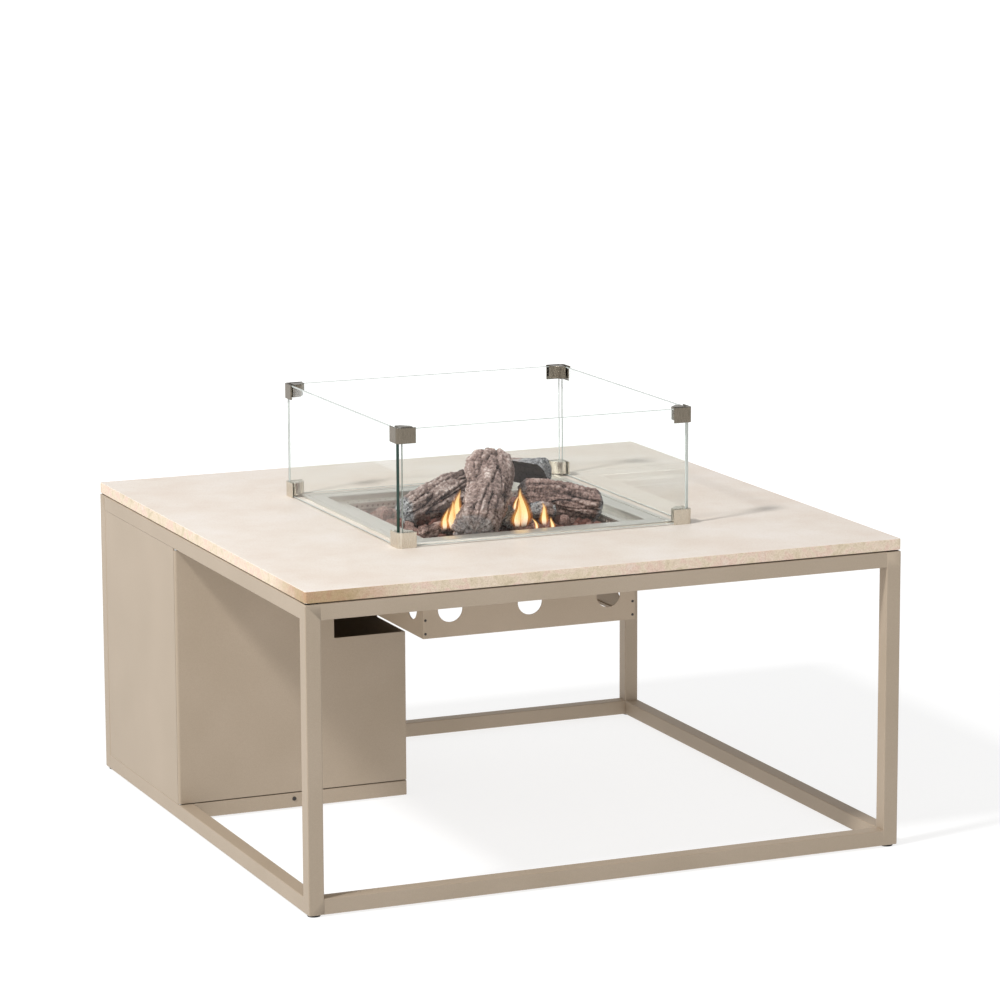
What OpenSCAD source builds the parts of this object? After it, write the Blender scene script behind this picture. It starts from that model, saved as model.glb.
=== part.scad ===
// Outdoor gas fire table: a stone top on a tube frame, with a burner and ceramic logs
// in the middle, a glass wind screen round them and a gas-bottle cabinet under one corner.
// +Z is up, the front is -Y and the cabinet is at the back left. The origin is on the
// floor under the middle of the table. All sizes are in millimetres.

/* [Table] */
// Side of the square table
table_side = 1000; // [960:10:1100]
// Height of the table top above the floor
table_height = 500; // [480:5:560]
// Thickness of the stone top
top_thickness = 18; // [14:1:22]
// Chamfer along the upper edge of the top
top_chamfer = 1.5; // [0.5:0.5:3]
// Width of the square frame tube
tube = 25; // [20:1:28]
// Wall thickness of the frame tube
tube_wall = 2; // [1.5:0.5:3]
// Height of the nylon glides under the corners
glide_height = 3; // [2:1:5]
// Thickness of the pads between the frame and the top
pad_height = 2; // [1:0.5:3]

/* [Bottle cabinet] */
// Width of the cabinet along the front
cabinet_width = 400; // [380:5:410]
// Depth of the cabinet, from its door to the back of the table
cabinet_depth = 395; // [385:5:410]
// Thickness of the sheet metal panels
sheet = 2; // [1.5:0.5:2]
// Side of the low corner that leaves room for the burner housing
notch_side = 126; // [120:1:134]
// Height of the panels at the low corner
notch_height = 283; // [250:1:300]
// Radius of the door's two pivot pins
pivot_radius = 2.5; // [2:0.25:3]
// Diameter of the vent holes in the cabinet floor
floor_vent = 42; // [30:2:50]

/* [Burner housing] */
// Side of the square housing under the burner
housing_side = 370; // [356:2:374]
// Height of the housing's lower edge above the floor
housing_bottom = 336; // [320:1:345]
// Diameter of the round vents in the housing
vent_diameter = 42; // [30:1:46]
// Distance between the centres of neighbouring vents
vent_pitch = 138; // [120:1:140]
// Height of the vent centres above the floor
vent_height = 381; // [372:1:390]

/* [Burner] */
// Outer side of the steel rim that rests on the top
rim_side = 464; // [440:2:468]
// Side of the opening inside the rim
rim_opening = 394; // [390:1:396]
// Height of the rim above the table top
rim_height = 3; // [2:0.5:4]
// Depth of the ledge below the face of the rim
ledge_drop = 10; // [8:1:14]
// Side of the ember well inside the ledge
well_side = 342; // [330:2:344]
// Radius of the ring burner's pipe
pipe_radius = 10; // [8:1:11]

/* [Glass screen] */
// Outer side of the square screen, over its clamps
screen_side = 508; // [490:1:520]
// Height of the screen above the table top
screen_height = 190; // [150:5:240]
// Thickness of the toughened glass
glass = 5; // [4:1:6]
// Length of each leg of a corner clamp
clamp_leg = 30; // [24:1:34]
// Height of a corner clamp
clamp_height = 25; // [18:1:32]
// Thickness of a clamp's outer plate
clamp_plate = 2.5; // [2:0.5:3]

/* [Controls] */
// Radius of the gas knob
knob_radius = 21; // [17:1:24]
// Length of the gas knob
knob_length = 24; // [18:1:28]
// Travel of the knob when it is pushed in
knob_travel = 4; // [2:0.5:5]
// Radius of the igniter button
button_radius = 7; // [5:0.5:8]
// Travel of the igniter button
button_travel = 4.5; // [3:0.5:5]
// Radius of the gas inlet spigot
inlet_radius = 4; // [3:0.5:6]

/* [Hidden] */
$fn = 48;

// Frame levels and edges
half = table_side / 2;
inner = half - tube;
frame_top = table_height - top_thickness - pad_height;
rail_low = glide_height;
sill_top = rail_low + tube;
rail_high = frame_top - tube;
top_under = table_height - top_thickness;

// Cabinet edges: it fills the back left corner of the frame
door_face = half - cabinet_depth;
cabinet_right = cabinet_width - half;
notch_left = cabinet_right - notch_side;
notch_back = door_face + notch_side;
panel_inset = 0.8;
door_gap = 3;
door_edge_radius = 4;
door_axis = [-half + door_edge_radius, door_face + door_edge_radius];
door_low = sill_top + door_gap;
door_high = rail_high - door_gap;
pivot_clearance = 0.06;
pivot_depth = 12;
return_depth = 14;
return_inset = 5;
roll_clear = 14;

// Burner levels
rim_face = table_height + rim_height;
ledge_top = rim_face - ledge_drop;
tray_sheet = 1.5;
rim_wall = rim_opening / 2;
well = well_side / 2;
well_floor = 440;
housing = housing_side / 2;
housing_top = well_floor - tray_sheet;
hem = 5;
flange = 24;
cutout = rim_opening + 10;
burner_side = 220;
burner_level = well_floor + 6 + pipe_radius;
joint_level = well_floor - 10;
ember_low = burner_level + pipe_radius + 0.5;
ember_top = ember_low + 15;
electrode = [70, 92];
probe = [92, 92];

// Controls sit on the right wall of the housing
control_level = 388;
knob_y = -32;
button_y = 36;
spindle_radius = 4;
spindle_fit = 0.05;
panel_plate = 2;
panel_face = housing + panel_plate;
knob_base = panel_face + knob_travel + 2.5;
knob_bore = knob_length - 5;
valve_back = housing - sheet - 38;
valve_half = 17;
outlet_length = 14;
inlet_x = valve_back + 19;
button_clearance = 0.3;

// Screen faces
screen = screen_side / 2;
glass_face = screen - clamp_plate;
glass_end = screen - 9.5;
clamp_gap = 0.4;
clamp_corner = 7;
clamp_bevel = 9;
clamp_web = -glass_end - 0.2;
clamp_inner = -glass_face + glass + clamp_gap;
clamp_end = clamp_leg - screen - 2;

// Logs: both ends of the axis and the radius
log_left_line = [[-126, 20, 508], [-7, 30, 542], 23];
log_centre_line = [[-69, -146, 509], [16, -20, 579], 27];
log_top_line = [[11, 68, 562], [77, -24, 561], 21.5];
log_right_line = [[48, -50, 534], [165, -72, 508], 22];
log_chunk_line = [[-4, -97, 500], [5, -20, 500], 15];
log_split_line = [[46, -80, 513], [88, -88, 509], 11];
log_branch_line = [[-160, -124, 494], [-95, -105, 494], 9];
LOGS = [
    log_left_line, log_centre_line, log_top_line, log_right_line,
    log_chunk_line, log_split_line, log_branch_line
];

// Finishes
powder = "#a39583";
stone = "#e9ddcf";
steel = "#b9b5ac";
nickel = "#8f8a80";
rubber = "#2b2a28";
brass = "#b08d4a";

// ---- shared shapes ----

// A box between two corners
module block(low, high) {
    translate(low) cube(high - low);
}

// A square tube along Z, X or Y between two corners; its bore is open at both ends
module tube_z(low, high) {
    w = tube_wall;
    difference() {
        block(low, high);
        block([low[0] + w, low[1] + w, low[2] - 1], [high[0] - w, high[1] - w, high[2] + 1]);
    }
}

module tube_x(low, high) {
    w = tube_wall;
    difference() {
        block(low, high);
        block([low[0] - 1, low[1] + w, low[2] + w], [high[0] + 1, high[1] - w, high[2] - w]);
    }
}

module tube_y(low, high) {
    w = tube_wall;
    difference() {
        block(low, high);
        block([low[0] + w, low[1] - 1, low[2] + w], [high[0] - w, high[1] + 1, high[2] - w]);
    }
}

// The same shape at each of the four corners of a square
module at_corners(distance) {
    for (sx = [-1, 1], sy = [-1, 1])
        translate([sx * distance, sy * distance, 0]) children();
}

// A square ring: outer and inner half-widths, bottom and top
module square_ring(outer, hole, low, high) {
    difference() {
        block([-outer, -outer, low], [outer, outer, high]);
        block([-hole, -hole, low - 1], [hole, hole, high + 1]);
    }
}

// A rod from one point to another
module rod(from, to, radius) {
    v = to - from;
    length = norm(v);
    tilt = acos(v[2] / length);
    turn = atan2(v[1], v[0]);
    translate(from) rotate([0, tilt, turn]) cylinder(r = radius, h = length);
}

// ---- frame ----

// One leg, sx and sy giving its corner
module leg(sx, sy) {
    x = sx < 0 ? -half : inner;
    y = sy < 0 ? -half : inner;
    color(powder) tube_z([x, y, rail_low], [x + tube, y + tube, frame_top]);
}

// One rail along X at the front or back
module rail_x(sy, low) {
    y = sy < 0 ? -half : inner;
    color(powder) tube_x([-inner, y, low], [inner, y + tube, low + tube]);
}

// One rail along Y at the left or right
module rail_y(sx, low) {
    x = sx < 0 ? -half : inner;
    color(powder) tube_y([x, -inner, low], [x + tube, inner, low + tube]);
}

module leg_front_left() { leg(-1, -1); }
module leg_front_right() { leg(1, -1); }
module leg_back_left() { leg(-1, 1); }
module leg_back_right() { leg(1, 1); }
module top_rail_front() { rail_x(-1, rail_high); }
module top_rail_back() { rail_x(1, rail_high); }
module top_rail_left() { rail_y(-1, rail_high); }
module top_rail_right() { rail_y(1, rail_high); }
module bottom_rail_front() { rail_x(-1, rail_low); }
module bottom_rail_back() { rail_x(1, rail_low); }
module bottom_rail_left() { rail_y(-1, rail_low); }
module bottom_rail_right() { rail_y(1, rail_low); }

// Sills that carry the cabinet: one under the door and one under the inner wall
module cabinet_front_sill() {
    color(powder)
        tube_x([-inner, door_face, rail_low], [cabinet_right, door_face + tube, sill_top]);
}

module cabinet_side_sill() {
    color(powder)
        tube_y([cabinet_right - tube, door_face + tube, rail_low],
            [cabinet_right, inner, sill_top]);
}

// Short rail over the full-height part of the door
module cabinet_header() {
    color(powder)
        tube_x([-inner, door_face, rail_high], [notch_left - 2, door_face + tube, frame_top]);
}

module corner_glides() {
    color(rubber)
        at_corners(half - tube / 2) cylinder(r = 10, h = glide_height);
}

// Pads on the corners and on the middle of each rail, inside the edge of the top
module top_pads() {
    pad = tube - 8;
    mid = half - tube / 2;
    color(rubber) {
        at_corners(mid)
            translate([-pad / 2, -pad / 2, frame_top]) cube([pad, pad, pad_height]);
        for (a = [0:90:270])
            rotate([0, 0, a])
                translate([-40, mid - pad / 2, frame_top]) cube([80, pad, pad_height]);
    }
}

// Wedge that cuts the chamfer along one upper edge of the top
module edge_cut() {
    c = top_chamfer;
    translate([-half - 1, -half, table_height])
        rotate([90, 0, 90])
            linear_extrude(table_side + 2)
                polygon([[-1, 1], [-1, -c - 1], [c + 1, 1]]);
}

module tabletop() {
    color(stone)
        difference() {
            block([-half, -half, top_under], [half, half, table_height]);
            block([-cutout / 2, -cutout / 2, top_under - 1],
                [cutout / 2, cutout / 2, table_height + 1]);
            for (a = [0:90:270]) rotate([0, 0, a]) edge_cut();
        }
}

// ---- bottle cabinet ----

module cabinet_left_panel() {
    color(powder)
        block([-half + panel_inset, door_axis[1] + door_edge_radius + 0.5, sill_top],
            [-half + panel_inset + sheet, inner, rail_high]);
}

module cabinet_back_panel() {
    color(powder)
        block([-inner, half - panel_inset - sheet, sill_top],
            [cabinet_right, half - panel_inset, rail_high]);
}

// Full height at the back, low at the front where the burner housing hangs over it
module cabinet_inner_wall() {
    front = door_face + sheet + 1;
    back = half - panel_inset - sheet;
    color(powder)
        difference() {
            block([cabinet_right - sheet, front, sill_top], [cabinet_right, back, rail_high]);
            block([cabinet_right - sheet - 1, front - 1, notch_height],
                [cabinet_right + 1, notch_back, rail_high + 1]);
        }
}

// Floor for the gas bottle, with vents that let heavy gas out
module cabinet_floor() {
    left = -inner - tube / 2;
    right = cabinet_right - sheet - 1;
    front = door_face + 16;
    middle = [(left + right) / 2, (front + inner) / 2];
    color(powder)
        difference() {
            block([left, front, sill_top], [right, inner - 1, sill_top + sheet]);
            for (sx = [-1, 1], sy = [-1, 1])
                translate([middle[0] + sx * 90, middle[1] + sy * 90, sill_top - 1])
                    cylinder(d = floor_vent, h = sheet + 2);
        }
}

// Studs on the left rails that the door turns on
module door_pivot_pins() {
    color(steel)
        translate([door_axis[0], door_axis[1], 0]) {
            translate([0, 0, sill_top]) cylinder(r = pivot_radius, h = pivot_depth);
            translate([0, 0, rail_high - pivot_depth])
                cylinder(r = pivot_radius, h = pivot_depth);
        }
}

// Catch on the cabinet floor; the door's lower return closes against it
module door_magnet() {
    x = cabinet_right - 70;
    y = door_face + sheet + return_depth + 0.6;
    z = sill_top + sheet;
    color(rubber) block([x, y, z], [x + 46, y + 12, z + 16]);
}

// Heads of the screws in the sill and in the housing's fixing to the tray
module frame_screws() {
    screw = 3.5;
    color(steel) {
        translate([(cabinet_right - half) / 2, door_face, rail_low + tube * 0.6])
            rotate([90, 0, 0]) cylinder(r = screw, h = 1.2);
        for (a = [0:90:270], s = [-1, 1])
            rotate([0, 0, a])
                translate([s * 120, -well + 4, housing_top - sheet - 2])
                    cylinder(r = screw, h = 2);
    }
}

// Outline of the door seen from the front, low at its free end and drawn in by an edge
module door_outline(edge) {
    left = door_axis[0];
    right = cabinet_right - edge;
    polygon([
        [left, door_low + edge], [right, door_low + edge], [right, notch_height - edge],
        [notch_left - edge, notch_height - edge], [notch_left - edge, door_high - edge],
        [left, door_high - edge]
    ]);
}

// Narrow band that follows the door's edges, clear of its hinge side
module door_return() {
    difference() {
        door_outline(return_inset);
        door_outline(return_inset + sheet);
        translate([door_axis[0] - 1, door_low]) square([roll_clear, door_high - door_low]);
    }
}

// Sheet door with folded returns, rolled round its hinge edge
module cabinet_door() {
    bore_depth = pivot_depth - door_gap + 1;
    color(powder)
        difference() {
            union() {
                translate([0, door_face + sheet, 0]) rotate([90, 0, 0])
                    linear_extrude(sheet) door_outline(0);
                translate([0, door_face + sheet + return_depth, 0]) rotate([90, 0, 0])
                    linear_extrude(return_depth) door_return();
                translate([door_axis[0], door_axis[1], door_low])
                    cylinder(r = door_edge_radius, h = door_high - door_low);
            }
            for (z = [door_low - 1, door_high - bore_depth])
                translate([door_axis[0], door_axis[1], z])
                    cylinder(r = pivot_radius + pivot_clearance, h = bore_depth + 1);
        }
}

// ---- burner housing ----

// One wall as a flat sheet in the XZ plane, with a hem below and a flange above
module housing_wall(length, vents) {
    hem_half = housing - 2 * sheet;
    difference() {
        union() {
            block([-length / 2, 0, housing_bottom], [length / 2, sheet, housing_top]);
            block([-hem_half, sheet, housing_bottom],
                [hem_half, 2 * sheet, housing_bottom + hem]);
            block([-length / 2 + flange, sheet, housing_top - sheet],
                [length / 2 - flange, flange, housing_top]);
        }
        for (x = vents)
            translate([x, -1, vent_height]) rotate([-90, 0, 0])
                cylinder(d = vent_diameter, h = sheet + 2);
    }
}

// A side wall: it stands between the front and back walls and has a tab behind each
module housing_side_wall(vents) {
    length = housing_side - 2 * sheet;
    housing_wall(length, vents);
    for (s = [0, 1])
        mirror([s, 0, 0])
            block([length / 2 - sheet, sheet, housing_bottom + hem + 1],
                [length / 2, sheet + 12, housing_top - sheet - 1]);
}

module housing_front() {
    color(powder)
        translate([0, -housing, 0])
            housing_wall(housing_side, [-vent_pitch, 0, vent_pitch]);
}

module housing_back() {
    color(powder)
        rotate([0, 0, 180]) translate([0, -housing, 0])
            housing_wall(housing_side, [-vent_pitch, 0, vent_pitch]);
}

module housing_left() {
    color(powder)
        rotate([0, 0, -90]) translate([0, -housing, 0])
            housing_side_wall([-vent_pitch, 0, vent_pitch]);
}

// The right wall has openings for the knob's spindle and the igniter
module housing_right() {
    color(powder)
        difference() {
            rotate([0, 0, 90]) translate([0, -housing, 0])
                housing_side_wall([-vent_pitch, vent_pitch]);
            translate([housing - sheet - 1, knob_y, control_level]) rotate([0, 90, 0])
                cylinder(r = spindle_radius + 1.5, h = sheet + 2);
            translate([housing - sheet - 1, button_y, control_level]) rotate([0, 90, 0])
                cylinder(r = button_radius + 2.5, h = sheet + 2);
        }
}

// Rivet heads on the front and back walls, over the side walls' tabs
module housing_rivets() {
    color(steel)
        for (side = [0, 180], s = [-1, 1], z = [housing_bottom + 8, housing_bottom + 30])
            rotate([0, 0, side])
                translate([s * (housing - 4), -housing, z])
                    rotate([90, 0, 0]) cylinder(r = 2.2, h = 0.8);
}

// ---- burner ----

// Flat rim with a turned-down wall that hangs in the opening of the top
module burner_rim() {
    color(steel) {
        square_ring(rim_side / 2, rim_wall, table_height, rim_face);
        square_ring(rim_wall + tray_sheet, rim_wall, ledge_top, table_height);
    }
}

// Ledge, well and floor in one pressed tray
module ember_tray() {
    low = well_floor - tray_sheet;
    color(steel)
        difference() {
            union() {
                square_ring(rim_wall + tray_sheet, well, ledge_top - tray_sheet, ledge_top);
                square_ring(well + tray_sheet, well, low, ledge_top - tray_sheet);
                block([-well, -well, low], [well, well, well_floor]);
            }
            translate([0, 0, low - 1]) cylinder(r = pipe_radius - 1, h = tray_sheet + 2);
            translate([electrode[0], electrode[1], low - 1])
                cylinder(r = 3.4, h = tray_sheet + 2);
            translate([probe[0], probe[1], low - 1])
                cylinder(r = 2.9, h = tray_sheet + 2);
        }
}

// Square pipe ring with rounded corners, a cross pipe and rows of gas ports
module ring_burner() {
    reach = burner_side / 2;
    bend = 24;
    straight = reach - bend;
    color(steel)
        translate([0, 0, burner_level])
            difference() {
                union() {
                    for (a = [0:90:270])
                        rotate([0, 0, a]) {
                            translate([-straight, -reach, 0]) rotate([0, 90, 0])
                                cylinder(r = pipe_radius, h = 2 * straight);
                            translate([straight, -straight, 0]) rotate([0, 0, -90])
                                rotate_extrude(angle = 90)
                                    translate([bend, 0]) circle(r = pipe_radius);
                        }
                    translate([-reach, 0, 0]) rotate([0, 90, 0])
                        cylinder(r = pipe_radius, h = 2 * reach);
                    translate([0, 0, joint_level - burner_level])
                        cylinder(r = pipe_radius - 2, h = burner_level - joint_level);
                }
                for (a = [0:90:270], k = [-2:2])
                    rotate([0, 0, a])
                        translate([k * 32, -reach, 0]) cylinder(r = 1.5, h = pipe_radius + 1);
            }
}

// A quarter bend of round pipe in its own XY plane
module pipe_bend(bend, radius) {
    rotate_extrude(angle = 90) translate([bend, 0]) circle(r = radius);
}

// Pipe from the valve's outlet to the burner's inlet under the tray
module supply_pipe() {
    r = 5;
    bend = -knob_y / 2;
    outlet = valve_back - outlet_length;
    color(brass)
        translate([0, 0, control_level]) {
            translate([bend, knob_y, 0]) rotate([0, 90, 0])
                cylinder(r = r, h = outlet - bend);
            translate([bend, -bend, 0]) rotate([0, 0, 180]) pipe_bend(bend, r);
            translate([0, -bend, bend]) rotate([90, 0, 90]) rotate([0, 0, -90])
                pipe_bend(bend, r);
            translate([0, 0, bend]) cylinder(r = r, h = joint_level - control_level - bend);
            translate([0, 0, joint_level - control_level - 9])
                cylinder(r = r + 4, h = 9, $fn = 6);
        }
}

// Valve body behind the wall, bored for the knob's spindle
module gas_valve() {
    w = valve_half;
    color(brass)
        difference() {
            union() {
                block([valve_back, knob_y - w, control_level - w],
                    [housing - sheet, knob_y + w, control_level + w]);
                translate([valve_back - outlet_length, knob_y, control_level])
                    rotate([0, 90, 0]) cylinder(r = 12, h = outlet_length);
            }
            translate([valve_back + 6, knob_y, control_level]) rotate([0, 90, 0])
                cylinder(r = spindle_radius + spindle_fit, h = housing - valve_back);
        }
}

// Spigot under the valve that a gas hose is fixed to
module gas_inlet() {
    color(brass)
        translate([inlet_x, knob_y, control_level - valve_half]) rotate([180, 0, 0]) {
            cylinder(r = inlet_radius + 4, h = 8, $fn = 6);
            cylinder(r = inlet_radius, h = 32);
        }
}

// Plate on the right wall that carries the knob and the igniter
module control_panel() {
    color(steel)
        difference() {
            block([housing, knob_y - 34, control_level - 28],
                [panel_face, button_y + 26, control_level + 28]);
            translate([housing - 1, knob_y, control_level]) rotate([0, 90, 0])
                cylinder(r = spindle_radius + 1.5, h = panel_plate + 2);
            translate([housing - 1, button_y, control_level]) rotate([0, 90, 0])
                cylinder(r = button_radius + 2.5, h = panel_plate + 2);
        }
}

// Push rod of the valve, from the valve's bore to the knob's
module valve_spindle() {
    start = valve_back + 6 + knob_travel + 1;
    end = knob_base + knob_bore - 1;
    color(steel)
        translate([start, knob_y, control_level]) rotate([0, 90, 0])
            cylinder(r = spindle_radius, h = end - start);
}

// Knob on the spindle, with a skirt, a fluted grip and a pointer rib
module gas_knob() {
    skirt = 5;
    grip = knob_radius - 4;
    color(rubber)
        translate([knob_base, knob_y, control_level]) rotate([0, 90, 0])
            difference() {
                union() {
                    cylinder(r = knob_radius, h = skirt);
                    cylinder(r = grip, h = knob_length);
                    translate([1 - knob_radius, -3, 0]) cube([knob_radius, 6, knob_length]);
                }
                translate([0, 0, -1])
                    cylinder(r = spindle_radius + spindle_fit, h = knob_bore + 1);
                for (a = [30:30:330])
                    rotate([0, 0, a + 180]) translate([grip + 1.5, 0, skirt + 0.5])
                        cylinder(r = 3, h = knob_length);
            }
}

// Piezo igniter behind the wall, with its collar on the panel
module igniter_body() {
    reach = 34;
    wall = button_radius + 2.2;
    color(rubber)
        translate([housing - reach, button_y, control_level]) rotate([0, 90, 0])
            difference() {
                union() {
                    cylinder(r = wall, h = reach + panel_plate);
                    translate([0, 0, reach + panel_plate]) cylinder(r = wall + 3, h = 2);
                    translate([0, 0, -8]) cylinder(r = 3, h = 8);
                }
                translate([0, 0, 12])
                    cylinder(r = button_radius + button_clearance, h = reach);
            }
}

// Red button, standing out of its collar by its travel and a little more
module igniter_button() {
    length = 16;
    start = panel_face + 2 + button_travel + 1.5 - length;
    color("#c23a2b")
        translate([start, button_y, control_level]) rotate([0, 90, 0])
            cylinder(r = button_radius, h = length);
}

// Ceramic rod with a wire tip beside the burner
module spark_electrode() {
    color("#e8e4da")
        translate([electrode[0], electrode[1], well_floor - 12]) {
            cylinder(r = 3, h = 34);
            cylinder(r = 1, h = 38);
        }
}

module thermocouple() {
    color(steel)
        translate([probe[0], probe[1], well_floor - 14]) cylinder(r = 2.5, h = 38);
}

// ---- embers and logs ----

// Distance in plan from a point to a log's axis
function plan_distance(p, line) =
    let (a = [line[0][0], line[0][1]], b = [line[1][0], line[1][1]], v = b - a)
    let (t = max(0, min(1, ((p - a) * v) / (v * v))))
    norm(p - a - t * v);

// True where a stone would stand clear of every log
function clear_of_logs(p, reach) =
    min([for (line = LOGS) plan_distance(p, line) - line[2]]) > reach;

// Bed of lava rock: a layer over the burner with stones standing out of it
module lava_rock() {
    edge = well - 3;
    pitch = 27;
    count = floor(edge / pitch);
    stone_size = 15;
    color("#6d4a3c")
        union() {
            block([-edge, -edge, ember_low], [edge, edge, ember_top]);
            for (i = [-count:count], k = [-count:count]) {
                p = [i * pitch * 0.94 + 4 * sin(i * 97 + k * 41),
                    k * pitch * 0.94 + 4 * sin(k * 83 + i * 29)];
                if (clear_of_logs(p, stone_size))
                    translate([p[0], p[1], ember_top - 1])
                        rotate([i * 37 + k * 11, k * 53, i * 71 + k * 19])
                            cube(stone_size, center = true);
            }
        }
}

// Ceramic log as a plain round bar along its line
module log_bar(line, shade) {
    color(shade) rod(line[0], line[1], line[2]);
}

module log_left() { log_bar(log_left_line, "#8d7f76"); }
module log_centre() { log_bar(log_centre_line, "#938479"); }
module log_top() { log_bar(log_top_line, "#7d756e"); }
module log_right() { log_bar(log_right_line, "#94806f"); }
module log_stubs() {
    log_bar(log_chunk_line, "#a09c97");
    log_bar(log_split_line, "#94806f");
}
module log_branch() { log_bar(log_branch_line, "#7a5a4c"); }

// ---- glass screen ----

// One pane on the front side; the others are turned copies
module pane() {
    color("#bfe0d6", 0.35)
        block([-glass_end, -glass_face, table_height + 2],
            [glass_end, -glass_face + glass, table_height + screen_height - 2]);
}

module glass_front() { pane(); }
module glass_right() { rotate([0, 0, 90]) pane(); }
module glass_back() { rotate([0, 0, 180]) pane(); }
module glass_left() { rotate([0, 0, 270]) pane(); }

// Outer angle of a clamp at the front left corner, with the web between two panes
module clamp_angle() {
    r = clamp_corner;
    difference() {
        translate([-screen, -screen]) {
            square([clamp_leg, clamp_plate]);
            square([clamp_plate, clamp_leg]);
            square(clamp_web + screen);
        }
        translate([-screen, -screen])
            difference() {
                translate([-1, -1]) square(r + 1);
                translate([r, r]) circle(r = r);
            }
    }
}

// Block inside the panes with a bevelled corner; it ends above the burner's rim
module clamp_block() {
    low = clamp_inner;
    polygon([
        [low, low], [clamp_end, low], [clamp_end, low + clamp_bevel],
        [low + clamp_bevel, clamp_end], [low, clamp_end]
    ]);
}

// The lower and the upper clamp of one corner
module corner_clamps(turn) {
    step = rim_height + 1;
    color(nickel)
        rotate([0, 0, turn])
            for (z = [table_height, table_height + screen_height - clamp_height])
                translate([0, 0, z]) {
                    linear_extrude(clamp_height) clamp_angle();
                    translate([0, 0, step]) linear_extrude(clamp_height - step) clamp_block();
                }
}

// Heads of the screws that press on the two panes at each corner
module clamp_screws() {
    color(steel)
        for (a = [0:90:270], z = [0, screen_height - clamp_height], s = [0, 1])
            rotate([0, 0, a]) mirror([s, -s, 0])
                translate([clamp_inner + 4, clamp_end, table_height + z + 9 + 8 * s])
                    rotate([-90, 0, 0]) cylinder(r = 2.4, h = 1);
}

module clamps_front_left() { corner_clamps(0); }
module clamps_front_right() { corner_clamps(90); }
module clamps_back_right() { corner_clamps(180); }
module clamps_back_left() { corner_clamps(270); }

leg_front_left();
leg_front_right();
leg_back_left();
leg_back_right();
top_rail_front();
top_rail_back();
top_rail_left();
top_rail_right();
bottom_rail_front();
bottom_rail_back();
bottom_rail_left();
bottom_rail_right();
cabinet_front_sill();
cabinet_side_sill();
cabinet_header();
corner_glides();
top_pads();
tabletop();
cabinet_left_panel();
cabinet_back_panel();
cabinet_inner_wall();
cabinet_floor();
door_pivot_pins();
door_magnet();
frame_screws();
cabinet_door();
housing_front();
housing_back();
housing_left();
housing_right();
housing_rivets();
burner_rim();
ember_tray();
ring_burner();
supply_pipe();
gas_valve();
gas_inlet();
control_panel();
igniter_body();
spark_electrode();
thermocouple();
valve_spindle();
gas_knob();
igniter_button();
lava_rock();
log_left();
log_centre();
log_top();
log_right();
log_stubs();
log_branch();
glass_front();
glass_back();
glass_left();
glass_right();
clamps_front_left();
clamps_front_right();
clamps_back_left();
clamps_back_right();
clamp_screws();
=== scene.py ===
import math

import bmesh
import bpy
import numpy as np
from mathutils import Matrix, Vector, noise


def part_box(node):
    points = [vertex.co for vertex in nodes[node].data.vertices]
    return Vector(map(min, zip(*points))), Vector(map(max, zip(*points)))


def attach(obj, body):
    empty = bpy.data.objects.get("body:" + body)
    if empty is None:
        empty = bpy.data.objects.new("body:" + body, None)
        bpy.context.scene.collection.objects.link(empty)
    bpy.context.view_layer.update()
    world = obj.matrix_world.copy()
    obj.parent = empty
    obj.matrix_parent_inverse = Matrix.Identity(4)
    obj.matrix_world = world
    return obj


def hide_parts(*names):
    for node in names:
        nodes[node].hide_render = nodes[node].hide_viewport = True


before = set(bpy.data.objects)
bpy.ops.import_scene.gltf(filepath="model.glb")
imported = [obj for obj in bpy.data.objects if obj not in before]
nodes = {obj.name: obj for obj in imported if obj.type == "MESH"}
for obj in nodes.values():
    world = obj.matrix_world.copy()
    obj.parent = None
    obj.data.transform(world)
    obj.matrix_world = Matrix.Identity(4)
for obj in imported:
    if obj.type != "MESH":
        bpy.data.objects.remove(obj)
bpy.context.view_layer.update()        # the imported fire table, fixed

mm = 0.001
print("frame loaded:", len(nodes), "nodes")


# small helpers
def linear(shade):
    parts = [int(shade[k:k + 2], 16) / 255 for k in (1, 3, 5)]
    return [*(c / 12.92 if c < 0.0405 else ((c + 0.055) / 1.055) ** 2.4 for c in parts), 1]


def perMm(size):
    return 1000 / size        # texture scale that gives features of this size in mm


def addNode(tree, kind, feeds=None, stops=None, **settings):
    made = tree.nodes.new(kind)
    for key, value in settings.items():
        setattr(made, key, value)
    for key, value in (feeds or {}).items():
        if isinstance(value, bpy.types.NodeSocket):
            tree.links.new(value, made.inputs[key])
        else:
            made.inputs[key].default_value = value
    for count, (spot, shade) in enumerate(stops or ()):
        if count >= len(made.color_ramp.elements):
            made.color_ramp.elements.new(spot)
        made.color_ramp.elements[count].position = spot
        made.color_ramp.elements[count].color = linear(shade)
    return made


def startMaterial(name):
    made = bpy.data.materials.new(name)
    made.use_nodes = True
    tree = made.node_tree
    tree.nodes.clear()
    shader = addNode(tree, "ShaderNodeBsdfPrincipled")
    addNode(tree, "ShaderNodeOutputMaterial", {0: shader.outputs[0]})
    return made, tree, shader, addNode(tree, "ShaderNodeTexCoord").outputs["Object"]


def newPiece(name, mesh, body, replaced=(), materials=()):
    mesh.name = name
    for coat in materials:
        mesh.materials.append(coat)
    piece = bpy.data.objects.new(name, mesh)
    bpy.context.scene.collection.objects.link(piece)
    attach(piece, body)
    if replaced:
        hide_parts(*replaced)
    return piece


def meshFrom(shape, smoothAngle=None):
    mesh = bpy.data.meshes.new("work")
    shape.to_mesh(mesh)
    shape.free()
    if smoothAngle is not None:
        mesh.shade_smooth()
        mesh.set_sharp_from_angle(angle=math.radians(smoothAngle))
    return mesh


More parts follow.
